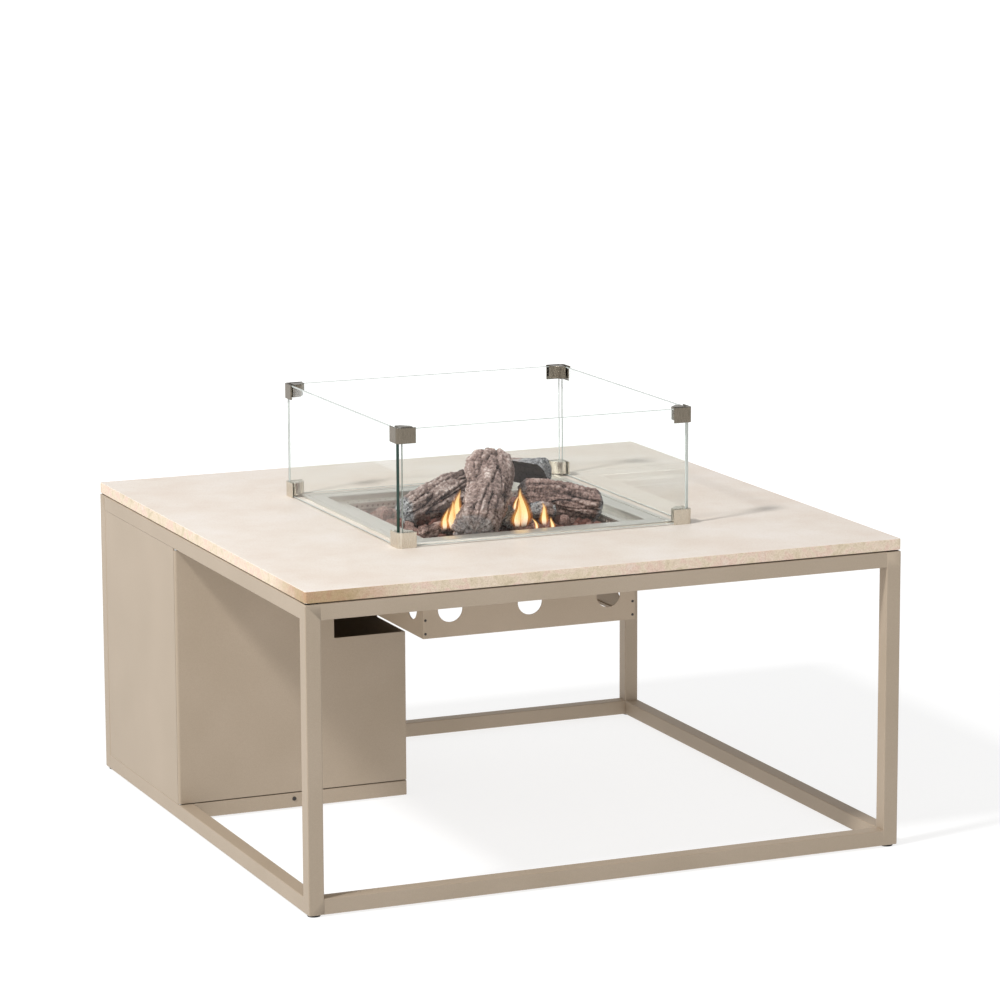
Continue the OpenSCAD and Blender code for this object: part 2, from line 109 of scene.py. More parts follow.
def evaluated(mesh, addModifiers):
    # the mesh after modifiers, as plain data
    work = bpy.data.objects.new("work", mesh)
    bpy.context.scene.collection.objects.link(work)
    addModifiers(work)
    bpy.context.view_layer.update()
    graph = bpy.context.evaluated_depsgraph_get()
    done = bpy.data.meshes.new_from_object(
        work.evaluated_get(graph), preserve_all_data_layers=True, depsgraph=graph)
    bpy.data.objects.remove(work)
    return done


def evenNormals(mesh):
    # large faces keep flat shading, and only the rounded edges between them blend
    mesh.shade_smooth()
    mesh.set_sharp_from_angle(angle=math.radians(50))
    return evaluated(mesh, lambda work: setattr(
        work.modifiers.new("normals", "WEIGHTED_NORMAL"), "keep_sharp", True))


def joined(*meshes):
    # several meshes as one, with their materials kept apart
    shape = bmesh.new()
    finishes = []
    for mesh in meshes:
        before = len(shape.faces)
        shape.from_mesh(mesh)
        shape.faces.ensure_lookup_table()
        own = list(mesh.materials)
        for face in shape.faces[before:]:
            coat = own[min(face.material_index, len(own) - 1)] if own else None
            if coat not in finishes:
                finishes.append(coat)
            face.material_index = finishes.index(coat)
    result = bpy.data.meshes.new("work")
    shape.to_mesh(result)
    shape.free()
    for coat in finishes:
        result.materials.append(coat)
    return result


def cadCopy(node):
    # the node's own triangles, merged back into whole faces
    shape = bmesh.new()
    shape.from_mesh(nodes[node].data)
    bmesh.ops.remove_doubles(shape, verts=shape.verts, dist=0.002 * mm)
    bmesh.ops.dissolve_limit(
        shape, angle_limit=math.radians(1), verts=shape.verts, edges=shape.edges)
    return shape


def softEdges(shape, width, chosen=None, segments=2):
    edges = [
        e for e in shape.edges
        if len(e.link_faces) == 2 and e.is_convex and e.calc_face_angle() > math.radians(50)
        and (chosen is None or chosen(e))
    ]
    bmesh.ops.bevel(
        shape, geom=edges, offset=width * mm, offset_type="OFFSET", segments=segments,
        profile=0.5, affect="EDGES", clamp_overlap=True)
    return shape


def ringLoop(halfX, halfY, z, radius=0.01, steps=4, centre=(0, 0)):
    # rounded rectangle in mm, counter-clockwise seen from above
    points = []
    for corner in range(4):
        sx, sy = ((1, 1), (-1, 1), (-1, -1), (1, -1))[corner]
        for k in range(steps + 1):
            a = math.radians(90 * corner + 90 * k / steps)
            points.append(Vector((
                centre[0] + sx * (halfX - radius) + radius * math.cos(a),
                centre[1] + sy * (halfY - radius) + radius * math.sin(a), z)) * mm)
    return points


def loft(loops, closed=False, capped=True):
    # skin through loops with the same number of points
    shape = bmesh.new()
    rows = [[shape.verts.new(p) for p in loop] for loop in loops]
    pairs = list(zip(rows, rows[1:])) + ([(rows[-1], rows[0])] if closed else [])
    for low, high in pairs:
        for k in range(len(low)):
            n = (k + 1) % len(low)
            shape.faces.new((low[k], low[n], high[n], high[k]))
    if capped and not closed:
        shape.faces.new(rows[0][::-1])
        shape.faces.new(rows[-1])
    bmesh.ops.remove_doubles(shape, verts=shape.verts, dist=0.002 * mm)
    bmesh.ops.recalc_face_normals(shape, faces=shape.faces)
    return shape


def turned(profile, sides=32, ridges=None):
    # solid of revolution about +Z; ridges(angle, r, z) may change the radius
    loops = []
    for r, z in profile:
        loop = []
        for k in range(sides):
            a = 2 * math.pi * k / sides
            own = r if ridges is None else ridges(a, r, z)
            loop.append(Vector((own * math.cos(a), own * math.sin(a), z)) * mm)
        loops.append(loop)
    return loft(loops)


def extruded(outline, low, high, soft, segments=2):
    shape = bmesh.new()
    base = shape.faces.new([shape.verts.new(Vector((x, y, low)) * mm) for x, y in outline])
    made = bmesh.ops.extrude_face_region(shape, geom=[base])
    lifted = [v for v in made["geom"] if isinstance(v, bmesh.types.BMVert)]
    bmesh.ops.translate(shape, verts=lifted, vec=(0, 0, (high - low) * mm))
    bmesh.ops.recalc_face_normals(shape, faces=shape.faces)
    return softEdges(shape, soft, segments=segments)


def solidsOf(node):
    # corner points of each separate solid in a CAD node
    shape = cadCopy(node)
    left = set(shape.verts)
    found = []
    while left:
        seed = [left.pop()]
        group = []
        while seed:
            v = seed.pop()
            group.append(np.array(v.co))
            for e in v.link_edges:
                other = e.other_vert(v)
                if other in left:
                    left.remove(other)
                    seed.append(other)
        found.append(np.array(group))
    shape.free()
    return sorted(found, key=lambda g: tuple(np.round(g.mean(0), 4)))


# node trees for what repeats
def treeWith(name, inputs):
    tree = bpy.data.node_groups.new(name, "GeometryNodeTree")
    tree.interface.new_socket("Geometry", in_out="INPUT", socket_type="NodeSocketGeometry")
    sockets = {}
    for label, kind in inputs:
        sockets[label] = tree.interface.new_socket(
            label, in_out="INPUT", socket_type="NodeSocket" + kind).identifier
    tree.interface.new_socket("Geometry", in_out="OUTPUT", socket_type="NodeSocketGeometry")
    given = addNode(tree, "NodeGroupInput").outputs
    return tree, sockets, given


def run(tree, sockets, mesh, **values):
    def addTree(work):
        modifier = work.modifiers.new("repeat", "NODES")
        modifier.node_group = tree
        for label, value in values.items():
            modifier[sockets[label]] = value
    return evaluated(mesh, addTree)


def squareTree():
    # repeats a unit in a row along the front side, turns the row to all four sides, and
    # stacks the result in levels
    tree, sockets, given = treeWith("roundTheSquare", [
        ("count", "Int"), ("pitch", "Float"), ("levels", "Int"), ("rise", "Float"),
        ("weld", "Float"), ("finish", "Material")])
    last = addNode(tree, "ShaderNodeMath", {0: given["count"], 1: 1.0}, operation="SUBTRACT")
    span = addNode(tree, "ShaderNodeMath", {0: last.outputs[0], 1: given["pitch"]},
                   operation="MULTIPLY")
    start = addNode(tree, "ShaderNodeMath", {0: span.outputs[0], 1: -0.5}, operation="MULTIPLY")
    first = addNode(tree, "ShaderNodeCombineXYZ", {0: start.outputs[0]})
    step = addNode(tree, "ShaderNodeCombineXYZ", {0: given["pitch"]})
    row = addNode(tree, "GeometryNodeMeshLine", {
        "Count": given["count"], "Start Location": first.outputs[0], "Offset": step.outputs[0]})
    side = addNode(tree, "GeometryNodeInstanceOnPoints", {
        "Points": row.outputs[0], "Instance": given["Geometry"]})
    sides = addNode(tree, "GeometryNodeMeshLine", {"Count": 4, "Offset": (0, 0, 0)})
    index = addNode(tree, "GeometryNodeInputIndex")
    turn = addNode(tree, "ShaderNodeMath", {0: index.outputs[0], 1: math.pi / 2},
                   operation="MULTIPLY")
    spin = addNode(tree, "ShaderNodeCombineXYZ", {2: turn.outputs[0]})
    square = addNode(tree, "GeometryNodeInstanceOnPoints", {
        "Points": sides.outputs[0], "Instance": side.outputs[0], "Rotation": spin.outputs[0]})
    lift = addNode(tree, "ShaderNodeCombineXYZ", {2: given["rise"]})
    levels = addNode(tree, "GeometryNodeMeshLine", {
        "Count": given["levels"], "Offset": lift.outputs[0]})
    stack = addNode(tree, "GeometryNodeInstanceOnPoints", {
        "Points": levels.outputs[0], "Instance": square.outputs[0]})
    real = addNode(tree, "GeometryNodeRealizeInstances", {0: stack.outputs[0]})
    weld = addNode(tree, "GeometryNodeMergeByDistance", {
        "Geometry": real.outputs[0], "Distance": given["weld"]})
    painted = addNode(tree, "GeometryNodeSetMaterial", {
        "Geometry": weld.outputs[0], "Material": given["finish"]})
    addNode(tree, "NodeGroupOutput", {0: painted.outputs[0]})
    return tree, sockets


def headTree():
    # puts the head on every point, with its own +Z along the point's facing
    tree, sockets, given = treeWith("headsOnPoints", [("head", "Object"), ("finish", "Material")])
    unit = addNode(tree, "GeometryNodeObjectInfo", {"Object": given["head"]})
    facing = addNode(tree, "GeometryNodeInputNamedAttribute", {"Name": "facing"},
                     data_type="FLOAT_VECTOR")
    turn = addNode(tree, "FunctionNodeAlignRotationToVector", {"Vector": facing.outputs[0]},
                   axis="Z")
    placed = addNode(tree, "GeometryNodeInstanceOnPoints", {
        "Points": given["Geometry"], "Instance": unit.outputs["Geometry"],
        "Rotation": turn.outputs[0]})
    real = addNode(tree, "GeometryNodeRealizeInstances", {0: placed.outputs[0]})
    painted = addNode(tree, "GeometryNodeSetMaterial", {
        "Geometry": real.outputs[0], "Material": given["finish"]})
    addNode(tree, "NodeGroupOutput", {0: painted.outputs[0]})
    return tree, sockets


def stoneTree():
    # one rough stone of few faces on every point, each turned, sized and dented on its own
    tree, sockets, given = treeWith("stonesOnPoints", [
        ("size", "Float"), ("spread", "Float"), ("dent", "Float"), ("lump", "Float"),
        ("seed", "Int"), ("finish", "Material")])
    third = addNode(tree, "ShaderNodeMath", {0: given["seed"], 1: 7.0}, operation="ADD")
    tint = addNode(tree, "ShaderNodeMath", {0: given["seed"], 1: 13.0}, operation="ADD")
    shift = addNode(tree, "FunctionNodeRandomValue", {
        0: (-1, -1, -0.5), 1: (1, 1, 0.5), "Seed": given["seed"]}, data_type="FLOAT_VECTOR")
    moved = addNode(tree, "ShaderNodeVectorMath", {0: shift.outputs[0]}, operation="SCALE")
    tree.links.new(given["spread"], moved.inputs["Scale"])
    points = addNode(tree, "GeometryNodeSetPosition", {
        "Geometry": given["Geometry"], "Offset": moved.outputs[0]})
    unit = addNode(tree, "GeometryNodeMeshIcoSphere", {"Radius": given["size"], "Subdivisions": 2})
    turn = addNode(tree, "FunctionNodeRandomValue", {
        0: (0, 0, 0), 1: (6.28, 6.28, 6.28), "Seed": given["seed"]}, data_type="FLOAT_VECTOR")
    grow = addNode(tree, "FunctionNodeRandomValue", {
        0: (0.75, 0.6, 0.55), 1: (1.3, 1.1, 0.95), "Seed": third.outputs[0]},
        data_type="FLOAT_VECTOR")
    placed = addNode(tree, "GeometryNodeInstanceOnPoints", {
        "Points": points.outputs[0], "Instance": unit.outputs[0],
        "Rotation": turn.outputs[0], "Scale": grow.outputs[0]})
    shade = addNode(tree, "FunctionNodeRandomValue", {2: 0.0, 3: 1.0, "Seed": tint.outputs[0]},
                    data_type="FLOAT")
    kept = addNode(tree, "GeometryNodeStoreNamedAttribute", {
        "Geometry": placed.outputs[0], "Name": "tint", "Value": shade.outputs[1]},
        data_type="FLOAT", domain="INSTANCE")
    real = addNode(tree, "GeometryNodeRealizeInstances", {0: kept.outputs[0]})
    place = addNode(tree, "GeometryNodeInputPosition")
    rough = addNode(tree, "ShaderNodeTexNoise", {
        "Vector": place.outputs[0], "Scale": given["lump"], "Detail": 2.0, "Roughness": 0.7})
    centred = addNode(tree, "ShaderNodeVectorMath", {
        0: rough.outputs["Color"], 1: (0.5, 0.5, 0.5)}, operation="SUBTRACT")
    push = addNode(tree, "ShaderNodeVectorMath", {0: centred.outputs[0]}, operation="SCALE")
    tree.links.new(given["dent"], push.inputs["Scale"])
    broken = addNode(tree, "GeometryNodeSetPosition", {
        "Geometry": real.outputs[0], "Offset": push.outputs[0]})
    painted = addNode(tree, "GeometryNodeSetMaterial", {
        "Geometry": broken.outputs[0], "Material": given["finish"]})
    addNode(tree, "NodeGroupOutput", {0: painted.outputs[0]})
    return tree, sockets


squareRepeat = squareTree()
headRepeat = headTree()
stoneRepeat = stoneTree()
print("node trees built")


# camera, floor and light
view = {
    "place": (-2.492, -5.901, 1.708),
    "heading": 23.12,        # degrees from +Y towards +X
    "pitch": -10.55,
    "roll": 0.24,
    "lens": 143.3,
}


def addCamera():
    yaw, pitch, roll = (math.radians(view[k]) for k in ("heading", "pitch", "roll"))
    ahead = Vector((
        math.sin(yaw) * math.cos(pitch), math.cos(yaw) * math.cos(pitch), math.sin(pitch)))
    right = Vector((math.cos(yaw), -math.sin(yaw), 0))
    up = right.cross(ahead)
    across = math.cos(roll) * right - math.sin(roll) * up
    over = math.sin(roll) * right + math.cos(roll) * up
    camera = bpy.data.objects.new("camera", bpy.data.cameras.new("camera"))
    camera.data.lens = view["lens"]
    camera.data.sensor_width = 36
    camera.data.clip_end = 200
    camera.matrix_world = Matrix.Translation(view["place"]) @ Matrix(
        (across, over, -ahead)).transposed().to_4x4()
    bpy.context.scene.collection.objects.link(camera)
    bpy.context.scene.camera = camera


studio = {
    "floorShades": ("#8c8c8c", "#909090"),
    "glowNear": 0.78,
    "glowFar": 1.0,
    "glowFrom": 1.0,          # metres from the middle of the table
    "glowTo": 3.5,
    # a softbox up on the left, and a wide weak fill from beside the camera
    "keyPlace": (-4.30, -1.56, 5.20),
    "keyAim": (-0.1, 0, 0.4),
    "keyWatts": 330,
    "keySize": 0.75,
    "fillFrom": (-0.10, -1.0, 0.16),
    "fillStrength": 0.85,
    "fillAngle": 50,
    "dimSide": 0.15,
    "brightSide": 0.74,
    "brightWay": (-0.50, 0.72, 0.10),
}


def addLight(name, kind, towards, energy, place=(0, 0, 0), **settings):
    light = bpy.data.objects.new(name, bpy.data.lights.new(name, kind))
    light.data.energy = energy
    for key, value in settings.items():
        setattr(light.data, key, value)
    light.location = place
    light.rotation_mode = "QUATERNION"
    light.rotation_quaternion = Vector(towards).to_track_quat("Z", "Y")
    bpy.context.scene.collection.objects.link(light)


def addStudio():
    made, tree, shader, place = startMaterial("paintedStudioFloor")
    # matt paint: even, with the faintest cloud
    cloud = addNode(tree, "ShaderNodeTexNoise", {"Vector": place, "Scale": 0.8})
    tone = addNode(tree, "ShaderNodeValToRGB", {0: cloud.outputs[0]},
                   stops=[(0.3, studio["floorShades"][0]), (0.7, studio["floorShades"][1])])
    tree.links.new(tone.outputs[0], shader.inputs["Base Color"])
    shader.inputs["Roughness"].default_value = 1
    shader.inputs["Specular IOR Level"].default_value = 0
    shader.inputs["Emission Color"].default_value = (1, 1, 1, 1)
    # it glows a little, more so away from the table, and stays white behind the glass
    away = addNode(tree, "ShaderNodeVectorMath", {0: place}, operation="LENGTH")
    glow = addNode(tree, "ShaderNodeMapRange", {
        "Value": away.outputs["Value"],
        "From Min": studio["glowFrom"], "From Max": studio["glowTo"],
        "To Min": studio["glowNear"], "To Max": studio["glowFar"]},
        interpolation_type="SMOOTHSTEP")
    tree.links.new(glow.outputs[0], shader.inputs["Emission Strength"])
    shape = bmesh.new()
    bmesh.ops.create_grid(shape, x_segments=1, y_segments=1, size=90)
    mesh = meshFrom(shape)
    mesh.materials.append(made)
    floor = bpy.data.objects.new("studioFloor", mesh)
    bpy.context.scene.collection.objects.link(floor)

    world = bpy.data.worlds.new("softbox")
    world.use_nodes = True
    tree = world.node_tree
    tree.nodes.clear()
    way = addNode(tree, "ShaderNodeTexCoord").outputs["Generated"]
    side = addNode(tree, "ShaderNodeVectorMath", {0: way, 1: studio["brightWay"]},
                   operation="DOT_PRODUCT")
    level = addNode(tree, "ShaderNodeMapRange", {
        "Value": side.outputs["Value"], "From Min": -0.8, "From Max": 0.7,
        "To Min": studio["dimSide"], "To Max": studio["brightSide"]},
        interpolation_type="SMOOTHSTEP")
    shine = addNode(tree, "ShaderNodeBackground", {
        "Color": (1, 0.997, 0.99, 1), "Strength": level.outputs[0]})
    addNode(tree, "ShaderNodeOutputWorld", {0: shine.outputs[0]})
    bpy.context.scene.world = world

    keyWay = Vector(studio["keyPlace"]) - Vector(studio["keyAim"])
    addLight("key", "AREA", keyWay, studio["keyWatts"], studio["keyPlace"],
             shape="DISK", size=studio["keySize"])
    addLight("fill", "SUN", studio["fillFrom"], studio["fillStrength"],
             angle=math.radians(studio["fillAngle"]))
    scene = bpy.context.scene
    scene.view_settings.view_transform = "Standard"
    scene.view_settings.look = "None"


addCamera()
addStudio()
print("camera and studio ready")


# materials
def powderCoat():
    # polyester powder coat on steel, baked: matt silk, with the fine orange peel of the spray
    made, tree, shader, place = startMaterial("powderCoat")
    drift = addNode(tree, "ShaderNodeTexNoise", {"Vector": place, "Scale": perMm(160)})
    tone = addNode(tree, "ShaderNodeValToRGB", {0: drift.outputs[0]},
                   stops=[(0.3, "#a49480"), (0.7, "#ab9b88")])
    fleck = addNode(tree, "ShaderNodeTexNoise", {
        "Vector": place, "Scale": perMm(1.2), "Detail": 1.0})
    grain = addNode(tree, "ShaderNodeValToRGB", {0: fleck.outputs[0]},
                    stops=[(0.35, "#f8f8f8"), (0.65, "#ffffff")])
    both = addNode(tree, "ShaderNodeMix", {0: 1.0, 6: tone.outputs[0], 7: grain.outputs[0]},
                   data_type="RGBA", blend_type="MULTIPLY")
    peel = addNode(tree, "ShaderNodeTexNoise", {
        "Vector": place, "Scale": perMm(1.8), "Detail": 2.0, "Roughness": 0.4})
    bump = addNode(tree, "ShaderNodeBump", {
        "Height": peel.outputs[0], "Strength": 0.14, "Distance": 0.00012})
    sheen = addNode(tree, "ShaderNodeMapRange", {
        "Value": drift.outputs[0], "To Min": 0.46, "To Max": 0.58})
    tree.links.new(both.outputs[2], shader.inputs["Base Color"])
    tree.links.new(bump.outputs[0], shader.inputs["Normal"])
    tree.links.new(sheen.outputs[0], shader.inputs["Roughness"])
    return made


def honedStone():
    # pressed quartz slab, honed: cream, fine grains, faint clouds, soft reflection
    made, tree, shader, place = startMaterial("honedStone")
    cloud = addNode(tree, "ShaderNodeTexNoise", {
        "Vector": place, "Scale": perMm(110), "Detail": 4.0, "Roughness": 0.55})
    tone = addNode(tree, "ShaderNodeValToRGB", {0: cloud.outputs[0]},
                   stops=[(0.32, "#e5d8cc"), (0.52, "#eae0d6"), (0.72, "#eee6df")])
    grain = addNode(tree, "ShaderNodeTexNoise", {
        "Vector": place, "Scale": perMm(2.2), "Detail": 3.0, "Roughness": 0.7})
    dust = addNode(tree, "ShaderNodeValToRGB", {0: grain.outputs[0]},
                   stops=[(0.3, "#e9dfd6"), (0.45, "#faf8f5"), (0.7, "#ffffff")])
    both = addNode(tree, "ShaderNodeMix", {0: 0.75, 6: tone.outputs[0], 7: dust.outputs[0]},
                   data_type="RGBA", blend_type="MULTIPLY")
    chip = addNode(tree, "ShaderNodeTexVoronoi", {"Vector": place, "Scale": perMm(5)})
    spot = addNode(tree, "ShaderNodeMapRange", {
        "Value": chip.outputs["Distance"], "From Min": 0.05, "From Max": 0.16,
        "To Min": 0.35, "To Max": 0.0})
    full = addNode(tree, "ShaderNodeMix", {
        0: spot.outputs[0], 6: both.outputs[2], 7: linear("#c9b296")}, data_type="RGBA")
    bump = addNode(tree, "ShaderNodeBump", {
        "Height": grain.outputs[0], "Strength": 0.2, "Distance": 0.0001})
    tree.links.new(full.outputs[2], shader.inputs["Base Color"])
    tree.links.new(bump.outputs[0], shader.inputs["Normal"])
    shader.inputs["Roughness"].default_value = 0.42
    return made


def sawnStoneEdge():
    # the slab's sawn edge: unbleached sand with olive and pink patches
    made, tree, shader, place = startMaterial("sawnStoneEdge")
    patch = addNode(tree, "ShaderNodeTexNoise", {
        "Vector": place, "Scale": perMm(28), "Detail": 5.0, "Roughness": 0.6,
        "Distortion": 0.6})
    tone = addNode(tree, "ShaderNodeValToRGB", {0: patch.outputs[0]}, stops=[
        (0.30, "#c9bb9f"), (0.44, "#dccdb5"), (0.52, "#e3d3c0"), (0.60, "#e0c6b6"),
        (0.74, "#eaded2")])
    grain = addNode(tree, "ShaderNodeTexNoise", {
        "Vector": place, "Scale": perMm(1.6), "Detail": 3.0, "Roughness": 0.7})
    dust = addNode(tree, "ShaderNodeValToRGB", {0: grain.outputs[0]},
                   stops=[(0.3, "#d9cfc0"), (0.6, "#ffffff")])
    both = addNode(tree, "ShaderNodeMix", {0: 0.8, 6: tone.outputs[0], 7: dust.outputs[0]},
                   data_type="RGBA", blend_type="MULTIPLY")
    # the edge is darker towards the front left corner
    corner = addNode(tree, "ShaderNodeVectorMath", {0: place, 1: (-0.47, -0.5, 0.49)},
                     operation="DISTANCE")
    cornerDarkening = addNode(tree, "ShaderNodeMapRange", {
        "Value": corner.outputs["Value"], "From Min": 0.03, "From Max": 0.15,
        "To Min": 0.95, "To Max": 0.0})
    full = addNode(tree, "ShaderNodeMix", {
        0: cornerDarkening.outputs[0], 6: both.outputs[2], 7: linear("#cab99c")}, data_type="RGBA",
        blend_type="MULTIPLY")
    bump = addNode(tree, "ShaderNodeBump", {
        "Height": grain.outputs[0], "Strength": 0.5, "Distance": 0.0003})
    tree.links.new(full.outputs[2], shader.inputs["Base Color"])
    tree.links.new(bump.outputs[0], shader.inputs["Normal"])
    shader.inputs["Roughness"].default_value = 0.6
    return made


def brushedSteel():
    # brushed stainless steel: fine lines along each side, drawn 0.6 mm apart so they show
    made, tree, shader = startMaterial("brushedSteel")[:3]
    grain = addNode(tree, "ShaderNodeUVMap", uv_map="grain").outputs[0]
    along = addNode(tree, "ShaderNodeMapping", {
        "Vector": grain, "Scale": (perMm(45), perMm(0.6), 1)})
    lines = addNode(tree, "ShaderNodeTexNoise", {
        "Vector": along.outputs[0], "Scale": 1.0, "Detail": 3.0, "Roughness": 0.6})
    tone = addNode(tree, "ShaderNodeValToRGB", {0: lines.outputs[0]},
                   stops=[(0.3, "#dad7cf"), (0.7, "#efece5")])
    rough = addNode(tree, "ShaderNodeMapRange", {
        "Value": lines.outputs[0], "To Min": 0.30, "To Max": 0.46})
    bump = addNode(tree, "ShaderNodeBump", {
        "Height": lines.outputs[0], "Strength": 0.25, "Distance": 0.0001})
    tree.links.new(tone.outputs[0], shader.inputs["Base Color"])
    tree.links.new(rough.outputs[0], shader.inputs["Roughness"])
    tree.links.new(bump.outputs[0], shader.inputs["Normal"])
    shader.inputs["Metallic"].default_value = 1
    return made


def heatedSteel():
    # pressed steel near the flames: darker, with blotches of heat tint and soot
    made, tree, shader, place = startMaterial("heatedSteel")
    blotch = addNode(tree, "ShaderNodeTexNoise", {
        "Vector": place, "Scale": perMm(40), "Detail": 4.0, "Roughness": 0.6})
    tone = addNode(tree, "ShaderNodeValToRGB", {0: blotch.outputs[0]}, stops=[
        (0.3, "#8d8079"), (0.5, "#aca199"), (0.7, "#c0b8b0")])
    rough = addNode(tree, "ShaderNodeMapRange", {
        "Value": blotch.outputs[0], "To Min": 0.5, "To Max": 0.3})
    tree.links.new(tone.outputs[0], shader.inputs["Base Color"])
    tree.links.new(rough.outputs[0], shader.inputs["Roughness"])
    shader.inputs["Metallic"].default_value = 1
    return made


def satinNickel(name, low, high):
    # zinc casting, satin nickel plated: warm grey, soft highlights, faint vertical brushing
    made, tree, shader, place = startMaterial(name)
    stretch = addNode(tree, "ShaderNodeMapping", {
        "Vector": place, "Scale": (perMm(0.5), perMm(0.5), perMm(14))})
    lines = addNode(tree, "ShaderNodeTexNoise", {"Vector": stretch.outputs[0], "Scale": 1.0})
    tone = addNode(tree, "ShaderNodeValToRGB", {0: lines.outputs[0]},
                   stops=[(0.35, low), (0.65, high)])
    rough = addNode(tree, "ShaderNodeMapRange", {
        "Value": lines.outputs[0], "To Min": 0.2, "To Max": 0.34})
    tree.links.new(tone.outputs[0], shader.inputs["Base Color"])
    tree.links.new(rough.outputs[0], shader.inputs["Roughness"])
    shader.inputs["Metallic"].default_value = 1
    return made


def zincPlate():
    # zinc-plated steel: bluish grey with small cloudy spangle
    made, tree, shader, place = startMaterial("zincPlate")
    cell = addNode(tree, "ShaderNodeTexVoronoi", {"Vector": place, "Scale": perMm(6)})
    tone = addNode(tree, "ShaderNodeValToRGB", {0: cell.outputs["Distance"]},
                   stops=[(0.1, "#a9abac"), (0.6, "#bdbebd")])
    tree.links.new(tone.outputs[0], shader.inputs["Base Color"])
    shader.inputs["Metallic"].default_value = 1
    shader.inputs["Roughness"].default_value = 0.35
    return made


def machinedBrass():
    # machined brass: yellow and a little dull, with cloudy patches
    made, tree, shader, place = startMaterial("machinedBrass")
    dull = addNode(tree, "ShaderNodeTexNoise", {
        "Vector": place, "Scale": perMm(9), "Detail": 3.0})
    tone = addNode(tree, "ShaderNodeValToRGB", {0: dull.outputs[0]},
                   stops=[(0.3, "#a5823f"), (0.7, "#c9a55c")])
    rough = addNode(tree, "ShaderNodeMapRange", {
        "Value": dull.outputs[0], "To Min": 0.42, "To Max": 0.26})
    tree.links.new(tone.outputs[0], shader.inputs["Base Color"])
    tree.links.new(rough.outputs[0], shader.inputs["Roughness"])
    shader.inputs["Metallic"].default_value = 1
    return made


def mouldedPlastic(name, low, high, roughness):
    # injection-moulded plastic with a fine spark-eroded grain
    made, tree, shader, place = startMaterial(name)
    grain = addNode(tree, "ShaderNodeTexNoise", {
        "Vector": place, "Scale": perMm(0.8), "Detail": 2.0})
    tone = addNode(tree, "ShaderNodeValToRGB", {0: grain.outputs[0]},
                   stops=[(0.3, low), (0.7, high)])
    bump = addNode(tree, "ShaderNodeBump", {
        "Height": grain.outputs[0], "Strength": 0.15, "Distance": 0.00005})
    tree.links.new(tone.outputs[0], shader.inputs["Base Color"])
    tree.links.new(bump.outputs[0], shader.inputs["Normal"])
    shader.inputs["Roughness"].default_value = roughness
    return made


def clearGlass():
    # toughened float glass: clear, with the faintest green; lets light through to the table
    made, tree, shader = startMaterial("clearGlass")[:3]
    shader.inputs["Base Color"].default_value = (0.968, 0.985, 0.976, 1)
    shader.inputs["Roughness"].default_value = 0.0
    # plain glass has 1.5; lower here, so that the panes mirror less of the studio
    shader.inputs["IOR"].default_value = 1.27
    shader.inputs["Transmission Weight"].default_value = 1
    passing = addNode(tree, "ShaderNodeBsdfTransparent", {0: (0.994, 0.998, 0.996, 1)})
    # light passes straight through, so that none is counted twice behind the panes
    path = addNode(tree, "ShaderNodeLightPath").outputs
    free = addNode(tree, "ShaderNodeMath", {0: path["Is Shadow Ray"], 1: path["Is Diffuse Ray"]},
                   operation="MAXIMUM")
    both = addNode(tree, "ShaderNodeMixShader", {
        0: free.outputs[0], 1: shader.outputs[0], 2: passing.outputs[0]})
    out = next(n for n in tree.nodes if n.type == "OUTPUT_MATERIAL")
    tree.links.new(both.outputs[0], out.inputs[0])
    return made


def glassEdge(name, deep, pale):
    # polished edge of the pane, drawn opaque: its colour is painted light, the green of light that
    # runs along the sheet, pale as painted reflection in one copy and dark as painted shade in the
    # others
    made, tree, shader, place = startMaterial(name)
    wave = addNode(tree, "ShaderNodeTexNoise", {"Vector": place, "Scale": perMm(25)})
    tone = addNode(tree, "ShaderNodeValToRGB", {0: wave.outputs[0]},
                   stops=[(0.3, deep), (0.7, pale)])
    tree.links.new(tone.outputs[0], shader.inputs["Base Color"])
    shader.inputs["Roughness"].default_value = 0.12
    shader.inputs["IOR"].default_value = 1.5
    return made


